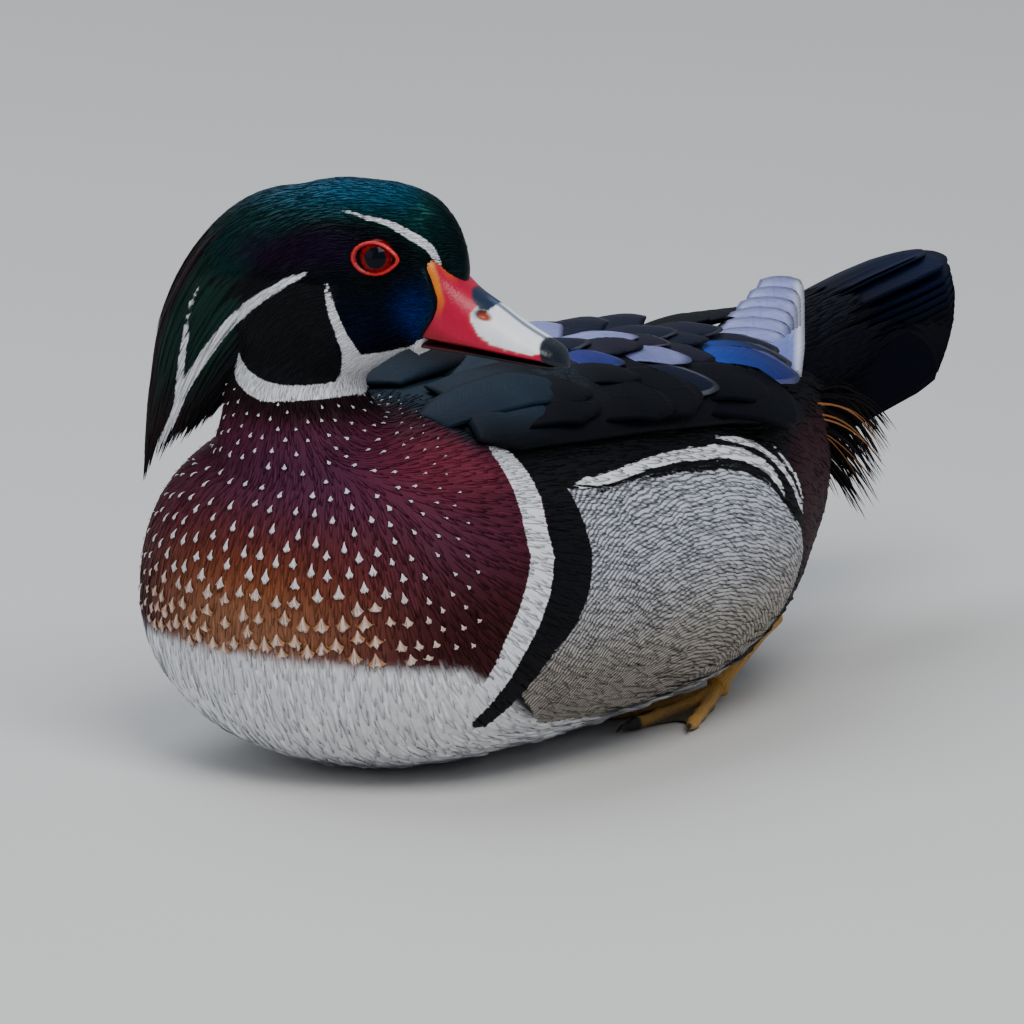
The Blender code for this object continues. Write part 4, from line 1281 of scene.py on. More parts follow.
def breast_spots(name, places, wide, long, shades, fans, columns, ragged, high):
    """Arrowheads on the coat: each starts as a point and widens down to its tip along the lie."""
    spots, normals = on_skin(places)
    axis, faced = [spots], [normals]
    for _ in range(TRACE_STEPS):
        spots, normals = on_skin(spots + lie(spots, normals) * (long / TRACE_STEPS)[:, None])
        axis.append(spots)
        faced.append(normals)
    line, faced, share = drawn_out(axis, faced, 6)
    lift = np.interp(share, [0, 0.3, 1], [0.0, high - 0.12, high])
    piece, flat, corners, size = vanes(
        name, line + lift[:, None] * faced, faced, wide / 2, 0.12, SPOT_SHAPE, columns, 0.05, ragged, 0.4
    )
    shaded(piece, np.repeat(shades, size, axis=0))
    traits = np.stack([0 * long, fans, draw.uniform(0, 1, len(long))], axis=-1)
    measured(piece, "traits", np.repeat(traits, size, axis=0))
    bake_map(piece, about_breast(places), flat, corners, size)
    return settled(piece, spot_paint, "breast_plumage")


paint = Paint("spot_plumage", Roughness=0.62, Specular_IOR_Level=0.12)
across, along, _ = paint.apart(paint.node("UVMap", {"uv_map": "Tuft"}))
_, fan, share = paint.apart(paint.attribute("traits"))
off_middle = (across - 0.5).math("ABSOLUTE") * 2.0
stretched = paint.together(across * 9.0 + share * 90.0, along * 1.5, share * 40.0)
streaks = paint.noise(stretched, 1.0, 1.0)
pale = paint.scaled(paint.attribute("shade", "Color"), 0.75 + streaks * 0.5)
pale = paint.blend(pale, (0.36, 0.17, 0.085, 1), off_middle.step(0.15, 0.75) * fan)
spot_colour = paint.blend(pale, (0.10, 0.028, 0.014, 1), streaks.step(0.44, 0.34) * 0.8)
paint.bump(streaks, 0.3, 0.0003)
spot_paint = paint.finish(Base_Color=spot_colour)
turned, z = round_breast(spots), spots[:, 2]
fade = 1 - 0.62 * ramp(np.abs(turned), 26, 54)
low_front = ramp(z, 62, 48)
lopsided = ramp(np.abs(turned), 50, 30)
pale_shade = mix(np.tile((0.66, 0.64, 0.68), (len(z), 1)), (0.62, 0.46, 0.36), low_front * 0.8)
fans = low_front * lopsided
wide = np.interp(z, *SPOT_WIDE) * fade * draw.uniform(0.75, 1.1, len(z)) * (1 + 0.25 * fans)
long = np.interp(z, *SPOT_LONG) * fade * draw.uniform(0.8, 1.1, len(z))
breast_spots("breast_spots", spots, wide, long, pale_shade, fans, 7, 0.35, 0.62)

# Crest
# A drooping mane of long narrow feathers, which narrows to a point behind the neck. Its locks start at
# many places along one core, lie sleek round it and end ragged along the lower edge.

CREST_LOCKS = 420
LOCK_SHAPE = ([0, 0.15, 0.5, 0.8, 1], [0.5, 1, 0.95, 0.6, 0.08])


def crest_normal(share, angle):
    """Square to the crest's surface, from two small steps along it."""
    small = 1e-3
    around = crest_point(share, angle + small) - crest_point(share, angle - small)
    down = crest_point(np.minimum(share + small, 1), angle) - crest_point(np.maximum(share - small, 0), angle)
    normal = np.cross(around, down)
    normal /= np.linalg.norm(normal, axis=-1, keepdims=True)
    outward = crest_point(share, angle) - crest_point(share, angle, size=0.0)
    return normal * np.sign((normal * outward).sum(axis=-1, keepdims=True))


def crest_shade(points, turned):
    """Colours round the crest: bronze purple on the outer edge, green on the sides, black below."""
    forward, right, up = head_place(points)
    shade = head_colour(forward, right, up)
    down = ramp(-forward, 26, 42)
    bronze = np.tile((0.014, 0.004, 0.006), (len(points), 1))
    side = mix(bronze, (0.003, 0.020, 0.014), ramp(turned, 0.55, 0.95))
    side = mix(side, (0.010, 0.004, 0.006), ramp(-up, 30, 52))
    side = mix(side, JET, ramp(turned, 1.9, 2.5))
    return mix(shade, side, down)


def crest_piece(name, shares, angle, lifts, half_widths):
    """Locks along the crest, one for each row of shares and each angle."""
    line = crest_point(shares, angle, lifts)
    faced = crest_normal(shares, angle)
    piece, flat, corners, size = vanes(name, line, faced, half_widths, 0.25, LOCK_SHAPE, 3, camber=0.16)
    points = place_of(piece)
    turned = np.repeat(np.abs(angle[:, 0]), size)
    row = np.rint(flat[:, 1] * (shares.shape[1] - 1)).astype(int)
    surface = points - (faced[:, row] * lifts[:, row, None]).reshape(-1, 3)
    jitter = np.repeat(draw.normal(0, 0.12, len(line)), size)
    painted(piece, surface, jitter, np.repeat(draw.uniform(0, 1, len(line)), size))
    shaded(piece, crest_shade(points, turned))
    chart = np.stack([0.05 + 0.9 * shares[:, 0], angle[:, 0] / (2 * math.pi) + 0.5], axis=-1)
    bake_map(piece, chart, flat, corners, size)
    return settled(piece, coat_paint, "crest_plumage")


def crest_locks(side):
    """Long locks of several lengths, spread round one side of the crest and narrowing to its tip."""
    rows = 12
    turned = np.sort(draw.uniform(0.02, math.pi - 0.05, CREST_LOCKS))
    layer = draw.uniform(0, 1, CREST_LOCKS)
    start = 0.16 + 0.5 * layer**1.4
    limit = 1.0 - 0.30 * (turned / math.pi) ** 1.6
    reach = start + draw.uniform(0.34, 0.60, CREST_LOCKS)
    reach = np.minimum(reach, limit - draw.uniform(0, 0.10, CREST_LOCKS))
    start = np.clip(np.minimum(start, reach - 0.22), 0, 1)
    shares = start[:, None] + (reach - start)[:, None] * np.linspace(0, 1, rows)
    bend = draw.normal(0, 0.07, (CREST_LOCKS, 1)) * np.linspace(0, 1, rows) ** 2
    angle = side * (turned[:, None] + bend)
    deep, wide = crest_section(start + 0.4 * (reach - start))[2:4]
    half_widths = np.maximum(0.075 * (deep + wide) * 0.5, 0.45)
    lifts = -1.3 + 1.4 * np.linspace(0, 1, rows) ** 0.6 - 0.30 * draw.uniform(0, 1, (CREST_LOCKS, 1))
    return crest_piece("crest_locks_" + SIDE_NAMES[-side], shares, angle, lifts, half_widths)


narrower = (1 - 0.55 * ramp(np.linspace(0.35, 0.8, 50), 0.5, 0.8))[:, None]
core = outwards(made_mesh("crest_core", *loft(crest_rings(0.35, 0.8, 50, 64, lift=-1.2, size=narrower))))
core_points = place_of(core)
painted(core, core_points)
shaded(core, crest_shade(core_points, np.full(len(core_points), 1.0)))
settled(core, skin.data.materials[0], "crest_plumage", "crest")
for side in SIDES:
    crest_locks(side)

# Eyes
# A glassy ball on each side of the head with a dark pupil in a red iris, looking a little forward and
# up, and round it the swollen red rim of the lids, drawn out to a corner towards the bill.

EYE_SPAN = 9.3
EYE_FORWARD, EYE_UP = 1.5, -0.7
EYE_RADIUS = 5.3
PUPIL_RADIUS = 2.85
IRIS_RADIUS = 4.5
LID_RADIUS = 5.3
LID_SPAN = 13.1
LID_THICK = 0.68


def eyeball(side):
    """A ball whose rings run round the way that it looks."""
    look = side * -RIGHT + 0.19 * FORWARD + 0.07 * UP
    look /= np.linalg.norm(look)
    across = np.cross(look, UP)
    across /= np.linalg.norm(across)
    above = np.cross(across, look)
    tilt = np.linspace(0, math.pi, 50)[1:-1, None, None]
    turn = np.linspace(0, 2 * math.pi, 64, endpoint=False)[:, None]
    bulge = 1 + 0.03 * np.exp(-((tilt / 0.5) ** 2))
    ring = np.cos(tilt) * bulge * look + np.sin(tilt) * (np.cos(turn) * across + np.sin(turn) * above)
    centre = head_point(EYE_FORWARD, -side * EYE_SPAN, EYE_UP)
    piece = outwards(made_mesh("eyeball_" + SIDE_NAMES[side], *loft(centre + EYE_RADIUS * ring)))
    away = place_of(piece) - centre
    out = np.linalg.norm(away - (away @ look)[:, None] * look, axis=1)
    spoke = np.arctan2(away @ above, away @ across)
    fibres = 0.5 + 0.5 * np.sin(spoke * 37) * np.sin(spoke * 23 + 1)
    dark = np.tile((0.13, 0.002, 0.003), (len(out), 1))
    iris = mix(dark, (0.36, 0.006, 0.004), fibres * ramp(out, 2.6, 3.8))
    iris = mix(iris, (0.045, 0.001, 0.002), ramp(out, IRIS_RADIUS - 0.6, IRIS_RADIUS + 0.2))
    shade = mix(iris, (0.002, 0.003, 0.007), ramp(out, PUPIL_RADIUS + 0.14, PUPIL_RADIUS - 0.06))
    shaded(piece, shade)
    return settled(piece, eye_paint, "eye", "eye_" + SIDE_NAMES[side])


def lid_rim(side):
    """A ring about the eye: its way round is drawn out by a bell curve at the front corner, and its round
    section has a groove along the inner side."""
    corner_width, drawn_out, height, lean = 0.42, 0.20, 0.76, 0.09
    turn = np.linspace(0, 2 * math.pi, 120, endpoint=False)[:, None]
    about = np.linspace(0, 2 * math.pi, 20, endpoint=False)
    corner = np.exp(-((np.minimum(turn, 2 * math.pi - turn) / corner_width) ** 2))
    wrinkle = 0.05 * np.sin(turn * 31) * np.cos(about) + 0.04 * np.sin(turn * 17 + 2)
    groove = -0.16 * np.exp(-(((about - 2.2) / 0.28) ** 2)) - 0.12 * np.exp(-(((about - 1.0) / 0.25) ** 2))
    thick = LID_THICK * (1 + wrinkle + groove) * (1 - 0.18 * corner)
    radius = LID_RADIUS * (1 + drawn_out * corner) + thick * np.cos(about)
    forward = radius * np.cos(turn)
    out = LID_SPAN - lean * forward + thick * np.sin(about)
    rings = head_point(EYE_FORWARD + forward, -side * out, EYE_UP + radius * np.sin(turn) * height)
    count, spokes = rings.shape[:2]
    i, j = np.meshgrid(np.arange(count), np.arange(spokes), indexing="ij")
    k, n = (j + 1) % spokes, (i + 1) % count
    quads = np.stack([i * spokes + j, i * spokes + k, n * spokes + k, n * spokes + j], axis=-1)
    piece = outwards(made_mesh("eyelids_" + SIDE_NAMES[side], rings.reshape(-1, 3), quads))
    # Painted shade: the rim is painted a darker red in its groove and on its inner side against the eye,
    # where shade falls.
    depth = np.exp(-(((about - 2.2) / 0.35) ** 2)) + ramp(np.cos(about), -0.5, -0.95)
    bright = np.tile((0.55, 0.002, 0.004), (count * spokes, 1))
    shade = mix(bright, (0.16, 0.001, 0.002), np.tile(depth, count) * 0.8)
    shaded(piece, shade)
    return settled(piece, lid_paint, "eye")


paint = Paint("glassy_eye", Roughness=0.06, IOR=1.45, Specular_IOR_Level=0.12)
speckle = paint.noise(paint.node("TexCoord", out="Object"), 2600.0, 3.0)
eye_paint = paint.finish(Base_Color=paint.scaled(paint.attribute("shade", "Color"), 0.75 + speckle * 0.5))
paint = Paint("lid_skin", Subsurface_Weight=0.1, Subsurface_Scale=0.0006)
grain = paint.noise(paint.node("TexCoord", out="Object"), 1800.0, 3.0)
paint.bump(grain, 0.4, 0.0003)
lid_colour = paint.scaled(paint.attribute("shade", "Color"), 0.8 + grain * 0.4)
lid_paint = paint.finish(Base_Color=lid_colour, Roughness=0.30 + grain * 0.2)
for side in SIDES:
    eyeball(side)
    lid_rim(side)

# Wings
# Folded wings that lie over the back. The upper surface of each is a cloak on which small shoulder
# feathers, long scapulars, tertials and the blue speculum lie in tiers, with the primaries' stacked tips
# crossed over the rump.

# Along the body, half width, back, 0, height of the widest place.
CLOAK = np.array(
    [
        (-60, 60.5, 92.8, 0, 42),
        (-45, 64, 94.5, 0, 42),
        (-10, 67, 95, 0, 43),
        (30, 66, 94, 0, 44),
        (62, 61, 92, 0, 46),
        (90, 52, 90, 0, 50),
        (112, 43, 87.5, 0, 55),
        (130, 36, 86.5, 0, 60),
        (150, 28, 86, 0, 64),
    ],
    float,
)
WING_START, WING_END = -47, 78
WING_THICK = 4.2
WING_RIM = 0.6
WING_SLANT = 20
WING_TOP_ANGLE = 88
WING_TOP_LIFT = 4.8  # the long feathers' heights are halved about this one
WING_HEM = np.array([(-50, 62), (-38, 52), (-15, 49), (15, 46), (45, 42), (70, 36), (90, 32)], float)
FEATHER_SHAPE = ([0, 0.2, 0.5, 0.8, 0.93, 1], [0.5, 0.8, 1, 1, 0.92, 0.7])
PRIMARY_SHAPE = ([0, 0.35, 0.85, 0.96, 1], [0.85, 1, 1, 0.96, 0.84])

BLACK_WING = (0.003, 0.0035, 0.006)
TEAL_WING = (0.010, 0.020, 0.033)
DARK_WING = (0.006, 0.008, 0.024)
BROWN_WING = (0.012, 0.011, 0.024)
VIOLET_WING = (0.022, 0.032, 0.20)
LILAC_WING = (0.24, 0.26, 0.50)
BLUE_WING = (0.010, 0.085, 0.52)
SILVER_WING = (0.13, 0.17, 0.42)

# Long feathers: root and tip along the body, root and tip angle up the cloak, half width, height of the
# tip over the cloak, shade at the root, shade at the tip, pale rim, gloss.
LONG_FEATHERS = (
    (-48, -6, 74, 66, 10, 6.3, TEAL_WING, TEAL_WING, 0.0, 0.2),
    (-34, -2, 72, 60, 9, 6.6, BLACK_WING, BLACK_WING, 0.0, 0.2),
    (-46, -4, 67, 56, 10, 6.2, BLACK_WING, BLACK_WING, 0.0, 0.1),
    (-20, 22, 63, 50, 10, 6.8, BLACK_WING, BLACK_WING, 0.0, 0.1),
    (-14, 37, 61, 53, 12.5, 6.4, BLACK_WING, BLACK_WING, 0.0, 0.1),
    (18, 68, 62, 47, 9, 5.9, BLACK_WING, BLACK_WING, 0.0, 0.1),
    (20, 75, 60, 36, 12.5, 5.8, BLACK_WING, BLACK_WING, 0.0, 0.1),
    (-12, 22, 74, 61.5, 6.5, 6.9, BLACK_WING, BLACK_WING, 0.0, 0.2),
    (2, 46, 67, 52.5, 7.5, 6.3, DARK_WING, DARK_WING, 0.15, 0.2),
    (18, 43, 86, 73, 11, 6.8, BROWN_WING, BROWN_WING, 0.0, 0.3),
    (38, 55, 86, 72.5, 9, 5.8, BROWN_WING, BROWN_WING, 0.2, 0.3),
    (0, 26, 82, 68.5, 8, 6.2, VIOLET_WING, VIOLET_WING, 0.1, 0.6),
    (14, 51, 82, 64, 7.4, 5.7, VIOLET_WING, LILAC_WING, 0.0, 0.6),
    (36, 61, 80, 62.2, 8.2, 4.8, BROWN_WING, BROWN_WING, 0.0, 0.3),
    (44, 74, 84, 72, 7, 4.4, DARK_WING, DARK_WING, 0.0, 0.4),
    (44, 87, 73, 46, 8.8, 5.0, BLUE_WING, VIOLET_WING, 0.2, 0.8),
    (50, 91, 76, 52, 7.5, 4.2, BLUE_WING, DARK_WING, 0.2, 0.8),
    (56, 96, 80, 60, 7.5, 2.6, DARK_WING, DARK_WING, 0.1, 0.4),
    (20, 50, 90, 78.5, 7, 6.6, LILAC_WING, LILAC_WING, 0.2, 0.3),
    (-10, 34, 90, 82, 8, 6.0, TEAL_WING, DARK_WING, 0.1, 0.4),
    (34, 70, 89, 79, 8, 5.6, DARK_WING, DARK_WING, 0.1, 0.4),
    (56, 88, 88, 76, 8, 4.2, DARK_WING, DARK_WING, 0.1, 0.4),
)
PRIMARIES = {1: 8, -1: 5}
PRIMARY_STEP = 5.8
PRIMARY_LENGTH = {1: 60, -1: 46}
PRIMARY_SHORTER = 4.4
PRIMARY_HALF_WIDTH = 6.4
PRIMARY_WIDER = {1: 0.9, -1: 0.0}
PRIMARY_SPREAD = 1.8
PRIMARY_LAYER = 0.4
PRIMARY_BEND = {1: 5.0, -1: -7.0}
PRIMARY_TONES = {1: (SILVER_WING, LILAC_WING), -1: (BLACK_WING, BLACK_WING)}
PRIMARY_RIM = {1: 0.15, -1: 0.0}
# Tip of the longest primary, and the way it points.
WING_TIP = {1: ((1, 136, 98), (-0.54, 0.76, 0.34)), -1: ((1, 129, 90.5), (0.38, 0.92, -0.01))}


def cloak_point(y, angle, lift=0.0):
    """A point on the cloak's left side at a place along the body and an angle up its section, in degrees."""
    rows = through(CLOAK, 121, poles=False)
    half, top, widest = (np.interp(y, rows[:, 0], rows[:, k]) for k in (1, 2, 4))
    x, z = section(np.radians(angle), half + lift, top + lift, 0.0, widest, BACK_SQUARENESS)
    return np.stack(np.broadcast_arrays(x, y, z), axis=-1)


def cloak_normal(y, angle):
    """Square to the cloak, from two small steps along it."""
    small = 0.05
    around = cloak_point(y, angle + small) - cloak_point(y, angle - small)
    back = cloak_point(y + small, angle) - cloak_point(y - small, angle)
    normal = np.cross(back, around)
    return normal / np.linalg.norm(normal, axis=-1, keepdims=True)


def mirrored_to(points, side):
    return points * np.array([side, 1, 1])


def wing_bed(side):
    """The wing under its feathers: a thick leaf over the back, rounded towards its rim."""
    rows, columns, edge = 70, 50, 0.15
    share = np.linspace(0, 1, rows)[:, None]
    y = WING_START + (WING_END - WING_START) * share
    low = np.interp(y, WING_HEM[:, 0], WING_HEM[:, 1])
    angle = low + (WING_TOP_ANGLE - low) * np.linspace(0, 1, columns)
    along = np.minimum(1, (share / 0.16) ** 0.6) * (1 - 0.5 * share**3)
    to_edge = np.minimum(angle - low, WING_TOP_ANGLE - angle) / 10
    across = np.clip(edge + (1 - edge) * np.sqrt(np.maximum(to_edge, 0)), 0, 1)
    place = y + WING_SLANT * (1 - share) ** 2 * (angle - low) / (WING_TOP_ANGLE - low)
    upper = cloak_point(place, angle, WING_RIM + WING_THICK * along * across)
    lower = cloak_point(place[1:-1, 1:-1], angle[1:-1, 1:-1], -0.6)
    points = np.concatenate([upper.reshape(-1, 3), lower.reshape(-1, 3)])
    faces, _ = tuft_faces(rows, columns, 1)
    bed = outwards(made_mesh("wing_bed_" + SIDE_NAMES[side], mirrored_to(points, side), faces))
    black = np.tile(BLACK_WING, (len(bed.data.vertices), 1))
    _, y, z = place_of(bed).T
    shaded(bed, mix(black, TEAL_WING, ramp(y, 0, -24) * ramp(z, 87, 94)))
    return settled(bed, bed_paint, "wing_plumage", "wing_" + SIDE_NAMES[side])


def wing_vanes(
    name, axes, faced, half_widths, shape, columns, tones, rims, glosses, camber=0.09, thick=0.15, rounded=0.4
):
    """Large feathers in one piece: each runs from its root's shade to its tip's."""
    piece, flat, corners, size = vanes(
        name, axes, faced, half_widths, thick, shape, columns, camber, 0.03, rounded
    )
    share = ramp(flat[:, 1], 0.25, 0.95)[None, :, None]
    start, end = tones[:, 0, None], tones[:, 1, None]
    shaded(piece, (start + (end - start) * share).reshape(-1, 3))
    traits = np.stack([glosses, rims, draw.uniform(0, 1, len(axes))], axis=-1)
    measured(piece, "traits", np.repeat(traits, size, axis=0))
    across = math.ceil(math.sqrt(len(axes)))
    cell = 1 / across
    place = np.stack([np.arange(len(axes)) % across, np.arange(len(axes)) // across], axis=-1) * cell
    mapped(piece, "OFBake", place[corners // size] + (0.06 + 0.88 * flat[corners % size]) * cell)
    return settled(piece, vane_paint, "wing_plumage")


def long_feathers(side):
    """Scapulars, tertials and speculum: each rises from the bed and lies along the cloak."""
    places = np.linspace(0, 1, 14)
    table = np.array([row[:6] for row in LONG_FEATHERS])
    y0, y1, a0, a1, half, high = (table[:, k, None] for k in range(6))
    y = y0 + (y1 - y0) * places
    angle = a0 + (a1 - a0) * places**1.8
    high = WING_TOP_LIFT + (high - WING_TOP_LIFT) * 0.5
    lift = -2.5 + (high + 2.5) * np.minimum(places * 1.4, 1) ** 0.6
    axes = mirrored_to(cloak_point(y, angle, lift), side)
    faced = mirrored_to(cloak_normal(y, angle), side)
    tones = np.array([row[6:8] for row in LONG_FEATHERS])
    rims, glosses = (np.array([row[k] for row in LONG_FEATHERS]) for k in (8, 9))
    name = "long_feathers_" + SIDE_NAMES[side]
    return wing_vanes(name, axes, faced, half[:, 0], FEATHER_SHAPE, 11, tones, rims, glosses)


def shoulder_feathers(side):
    """Small scaly feathers over the front of the wing and between the long ones."""
    rows, count = 7, 420
    share = draw.uniform(0, 0.36, count)
    y = WING_START + 3 + (WING_END - WING_START - 12) * share
    low = np.interp(y, WING_HEM[:, 0], WING_HEM[:, 1]) + 1
    part = draw.uniform(0.45 * ramp(share, 0.02, 0.18), 1)
    angle = low + (WING_TOP_ANGLE - 2 - low) * part
    y = y + WING_SLANT * (1 - share) ** 2 * part
    long = 11 + 8 * share
    half = 2.2 + 2.2 * share
    places = np.linspace(0, 1, rows)
    along = y[:, None] + long[:, None] * places
    slope = angle[:, None] - 3.0 * places
    edge = np.minimum(angle - low, WING_TOP_ANGLE - angle) / 10
    risen = np.minimum(1, (np.maximum(share, 0.01) / 0.16) ** 0.6)
    over = WING_RIM + WING_THICK * np.clip(np.sqrt(np.maximum(edge, 0)), 0, 1) * risen
    over = over * (1 - 0.5 * share**3)
    lift = over[:, None] - 0.9 + 1.0 * places
    axes = mirrored_to(cloak_point(along, slope, lift), side)
    faced = mirrored_to(cloak_normal(along, slope), side)
    tones = np.tile(np.array(TEAL_WING), (count, 2, 1)) * draw.uniform(0.5, 1.5, (count, 1, 1))
    tones = tones + (np.array(BLACK_WING) - tones) * ramp(share + 0.6 * (1 - part), 0.35, 0.75)[:, None, None]
    return wing_vanes(
        "shoulder_feathers_" + SIDE_NAMES[side], axes, faced, half, FEATHER_SHAPE, 7, tones,
        np.full(count, 0.05), np.full(count, 0.35), thick=0.2,
    )


def primaries(side):
    """The long flight feathers, straight and stiff, each a step shorter than the one below it."""
    tip, way = (np.array(v, float) for v in WING_TIP[side])
    way /= np.linalg.norm(way)
    across = np.cross(way, UP)
    across /= np.linalg.norm(across)
    face = np.cross(across, way)
    inwards = -side * across * np.sign(across[0])
    rank = np.arange(PRIMARIES[side])[:, None, None]
    places = np.linspace(0, 1, 16)[None, :, None]
    end = tip + rank * (inwards * PRIMARY_SPREAD + face * PRIMARY_LAYER - way * PRIMARY_STEP)
    axes = end - (1 - places) * way * (PRIMARY_LENGTH[side] - PRIMARY_SHORTER * rank)
    axes = axes + PRIMARY_BEND[side] * (1 - places) ** 2 * UP
    faced = np.broadcast_to(face, axes.shape)
    count = len(axes)
    half_widths = PRIMARY_HALF_WIDTH + PRIMARY_WIDER[side] * rank[:, 0, 0]
    tones = np.tile(np.array(PRIMARY_TONES[side]), (count, 1, 1))
    piece = wing_vanes(
        "primaries_" + SIDE_NAMES[side], axes, faced, half_widths, PRIMARY_SHAPE, 9, tones,
        np.full(count, PRIMARY_RIM[side]), np.full(count, 0.2), camber=0.05, rounded=0.16,
    )
    if side > 0:
        away = place_of(piece) - tip
        out = away @ across * np.sign(across[0])
        shades = numbers(piece.data.attributes["shade"], "data", "color", 4)[:, :3]
        shaded(piece, mix(shades, (0.66, 0.68, 0.76), ramp(out, 3.0, 5.5)))
    return piece


def vane_finish(name):
    """A flight feather's paint: slanting barbs on both sides of the shaft, a pale rim at the tip."""
    paint = Paint(name, Specular_IOR_Level=0.05)
    shade = paint.attribute("shade", "Color")
    gloss, rim, share = paint.apart(paint.attribute("traits"))
    across, along, _ = paint.apart(paint.node("UVMap", {"uv_map": "Tuft"}))
    off_middle = (across - 0.5).math("ABSOLUTE") * 2.0
    slant = along * 42.0 - off_middle * 7.0
    barbs = paint.noise(paint.together(slant, off_middle * 1.5 + share * 30.0, share * 60.0), 1.0, 2.0)
    soft = paint.noise(paint.together(across * 2.0 + share * 70.0, along * 2.5, share * 20.0), 1.0, 2.0)
    shaft = off_middle.step(0.05, 0.015)
    light = 0.55 + barbs * 0.40 + soft * 0.55
    colour = paint.scaled(shade, light)
    at_rim = (along + off_middle * off_middle * 0.16 + (barbs - 0.5) * 0.01).step(0.955, 0.985) * rim
    colour = paint.blend(colour, (0.55, 0.56, 0.66, 1), at_rim)
    colour = paint.scaled(colour, 1.0 - shaft * 0.10)
    paint.bump(barbs + shaft * 0.25, 0.30, 0.0004)
    return paint.finish(Base_Color=colour, Metallic=0.25 + gloss * 0.6, Roughness=0.56 - gloss * 0.16)


vane_paint = vane_finish("flight_plumage")
paint = Paint("wing_down", Roughness=0.6, Specular_IOR_Level=0.08)
grain = paint.noise(paint.node("TexCoord", out="Object"), 700.0, 3.0)
paint.bump(grain, 0.4, 0.0005)
bed_paint = paint.finish(Base_Color=paint.scaled(paint.attribute("shade", "Color"), 0.7 + grain * 0.6))
for side in SIDES:
    wing_bed(side)
    long_feathers(side)
    shoulder_feathers(side)
    primaries(side)

# Tail
# A tent of broad stiff black feathers glossed with blue, the blue painted on the upper ones' tips as a
# painted sheen, on a short stump, with long loose plumes that hang over each side of its root.

TAIL_PAIRS = 15
TAIL_ROOT = 124
TAIL_TIP = 206
TAIL_HALF_WIDTH = 9.0
TAIL_TILT = math.radians(6)
TAIL_SHAPE = ([0, 0.3, 0.75, 0.94, 1], [0.6, 0.92, 1, 0.92, 0.75])
# Along the body, half width, top, bottom: the stump, and the coverts about it.
TAIL_STUMP = np.array(
    [
        (110, 14, 80, 58),
        (122, 17, 85, 58),
        (133, 17.5, 87, 59),
        (144, 16.5, 87.5, 62),
        (158, 8, 87, 72),
    ],
    float,
)
TAIL_COVERTS = np.array(
    [
        (108, 16, 80, 56),
        (122, 18, 85.5, 58),
        (144, 17.5, 88.5, 63),
        (166, 17, 90.5, 70),
    ],
    float,
)
PLUME_FACE = np.array((0.9, -0.1, 0.42))
# Root, tip, bend upwards and whether it is golden.
PLUMES = (
    ((26, 100, 66), (33, 129, 40), 3, 0),
    ((25, 103, 67), (33, 133, 42), 3, 1),
    ((25, 104, 67), (33, 136, 43), 4, 0),
    ((23, 107, 67), (31, 141, 44), 4, 1),
    ((22, 109, 68), (30, 144, 45), 5, 0),
    ((21, 112, 68), (28, 148, 48), 5, 1),
    ((20, 114, 68), (27, 150, 49), 6, 0),
    ((18, 117, 68), (25, 153, 52), 6, 0),
    ((17, 120, 68), (24, 156, 56), 6, 0),
)


def tail_feathers():
    """Each feather lies lower and further out than the one before, its inner edge under it."""
    rank = np.arange(TAIL_PAIRS)
    q = np.repeat(rank / (TAIL_PAIRS - 1), 2)
    side = np.tile(SIDES, TAIL_PAIRS)
    root = np.stack([side * (2.2 + 13 * q), np.full_like(q, TAIL_ROOT), 82 - 21 * q**1.2], axis=-1)
    tip = np.stack([side * (3.6 + 18 * q), TAIL_TIP - 27 * q**1.7, 93.4 - 18 * q**0.9], axis=-1)
    lean = np.radians(14 + 44 * q**0.5)
    surface = np.stack([side * np.sin(lean), 0 * q, np.cos(lean)], axis=-1)
    turned = lean - TAIL_TILT
    face = np.stack([side * np.sin(turned), np.full_like(q, -0.06), np.cos(turned)], axis=-1)
    places = np.linspace(0, 1, 16)[None, :, None]
    axes = root[:, None] + places * (tip - root)[:, None] + np.sin(math.pi * places) * surface[:, None] * 1.5
    faced = np.repeat(face[:, None], 16, axis=1)
    dark = np.tile((0.002, 0.0025, 0.006), (len(q), 1))
    # Painted sheen: the tips of the upper feathers are painted navy blue, the tail's gloss where the light
    # from above catches it; the lower ones stay black.
    tones = np.stack([dark, mix(dark, (0.003, 0.008, 0.034), ramp(q, 0.45, 0.0))], axis=1)
    piece = wing_vanes(
        "tail_feathers", axes, faced, np.full(len(q), TAIL_HALF_WIDTH), TAIL_SHAPE, 9, tones,
        np.zeros(len(q)), np.full(len(q), 0.5), camber=0.02,
    )
    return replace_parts(piece, "tail")


def tail_stump():
    """The fleshy root of the tail, under its coverts."""
    turn = np.linspace(0, 2 * math.pi, 48, endpoint=False)
    y, half, top, bottom = through(TAIL_STUMP, 40, poles=False).T[..., None]
    x, z = section(turn, half, top, bottom, bottom + 0.35 * (top - bottom), 1.0)
    rings = np.stack([x, np.broadcast_to(y, x.shape), z], axis=-1)
    stump = outwards(made_mesh("tail_stump", *loft(rings)))
    shaded(stump, np.tile((0.002, 0.003, 0.006), (len(stump.data.vertices), 1)))
    return settled(stump, bed_paint, "tail_plumage")


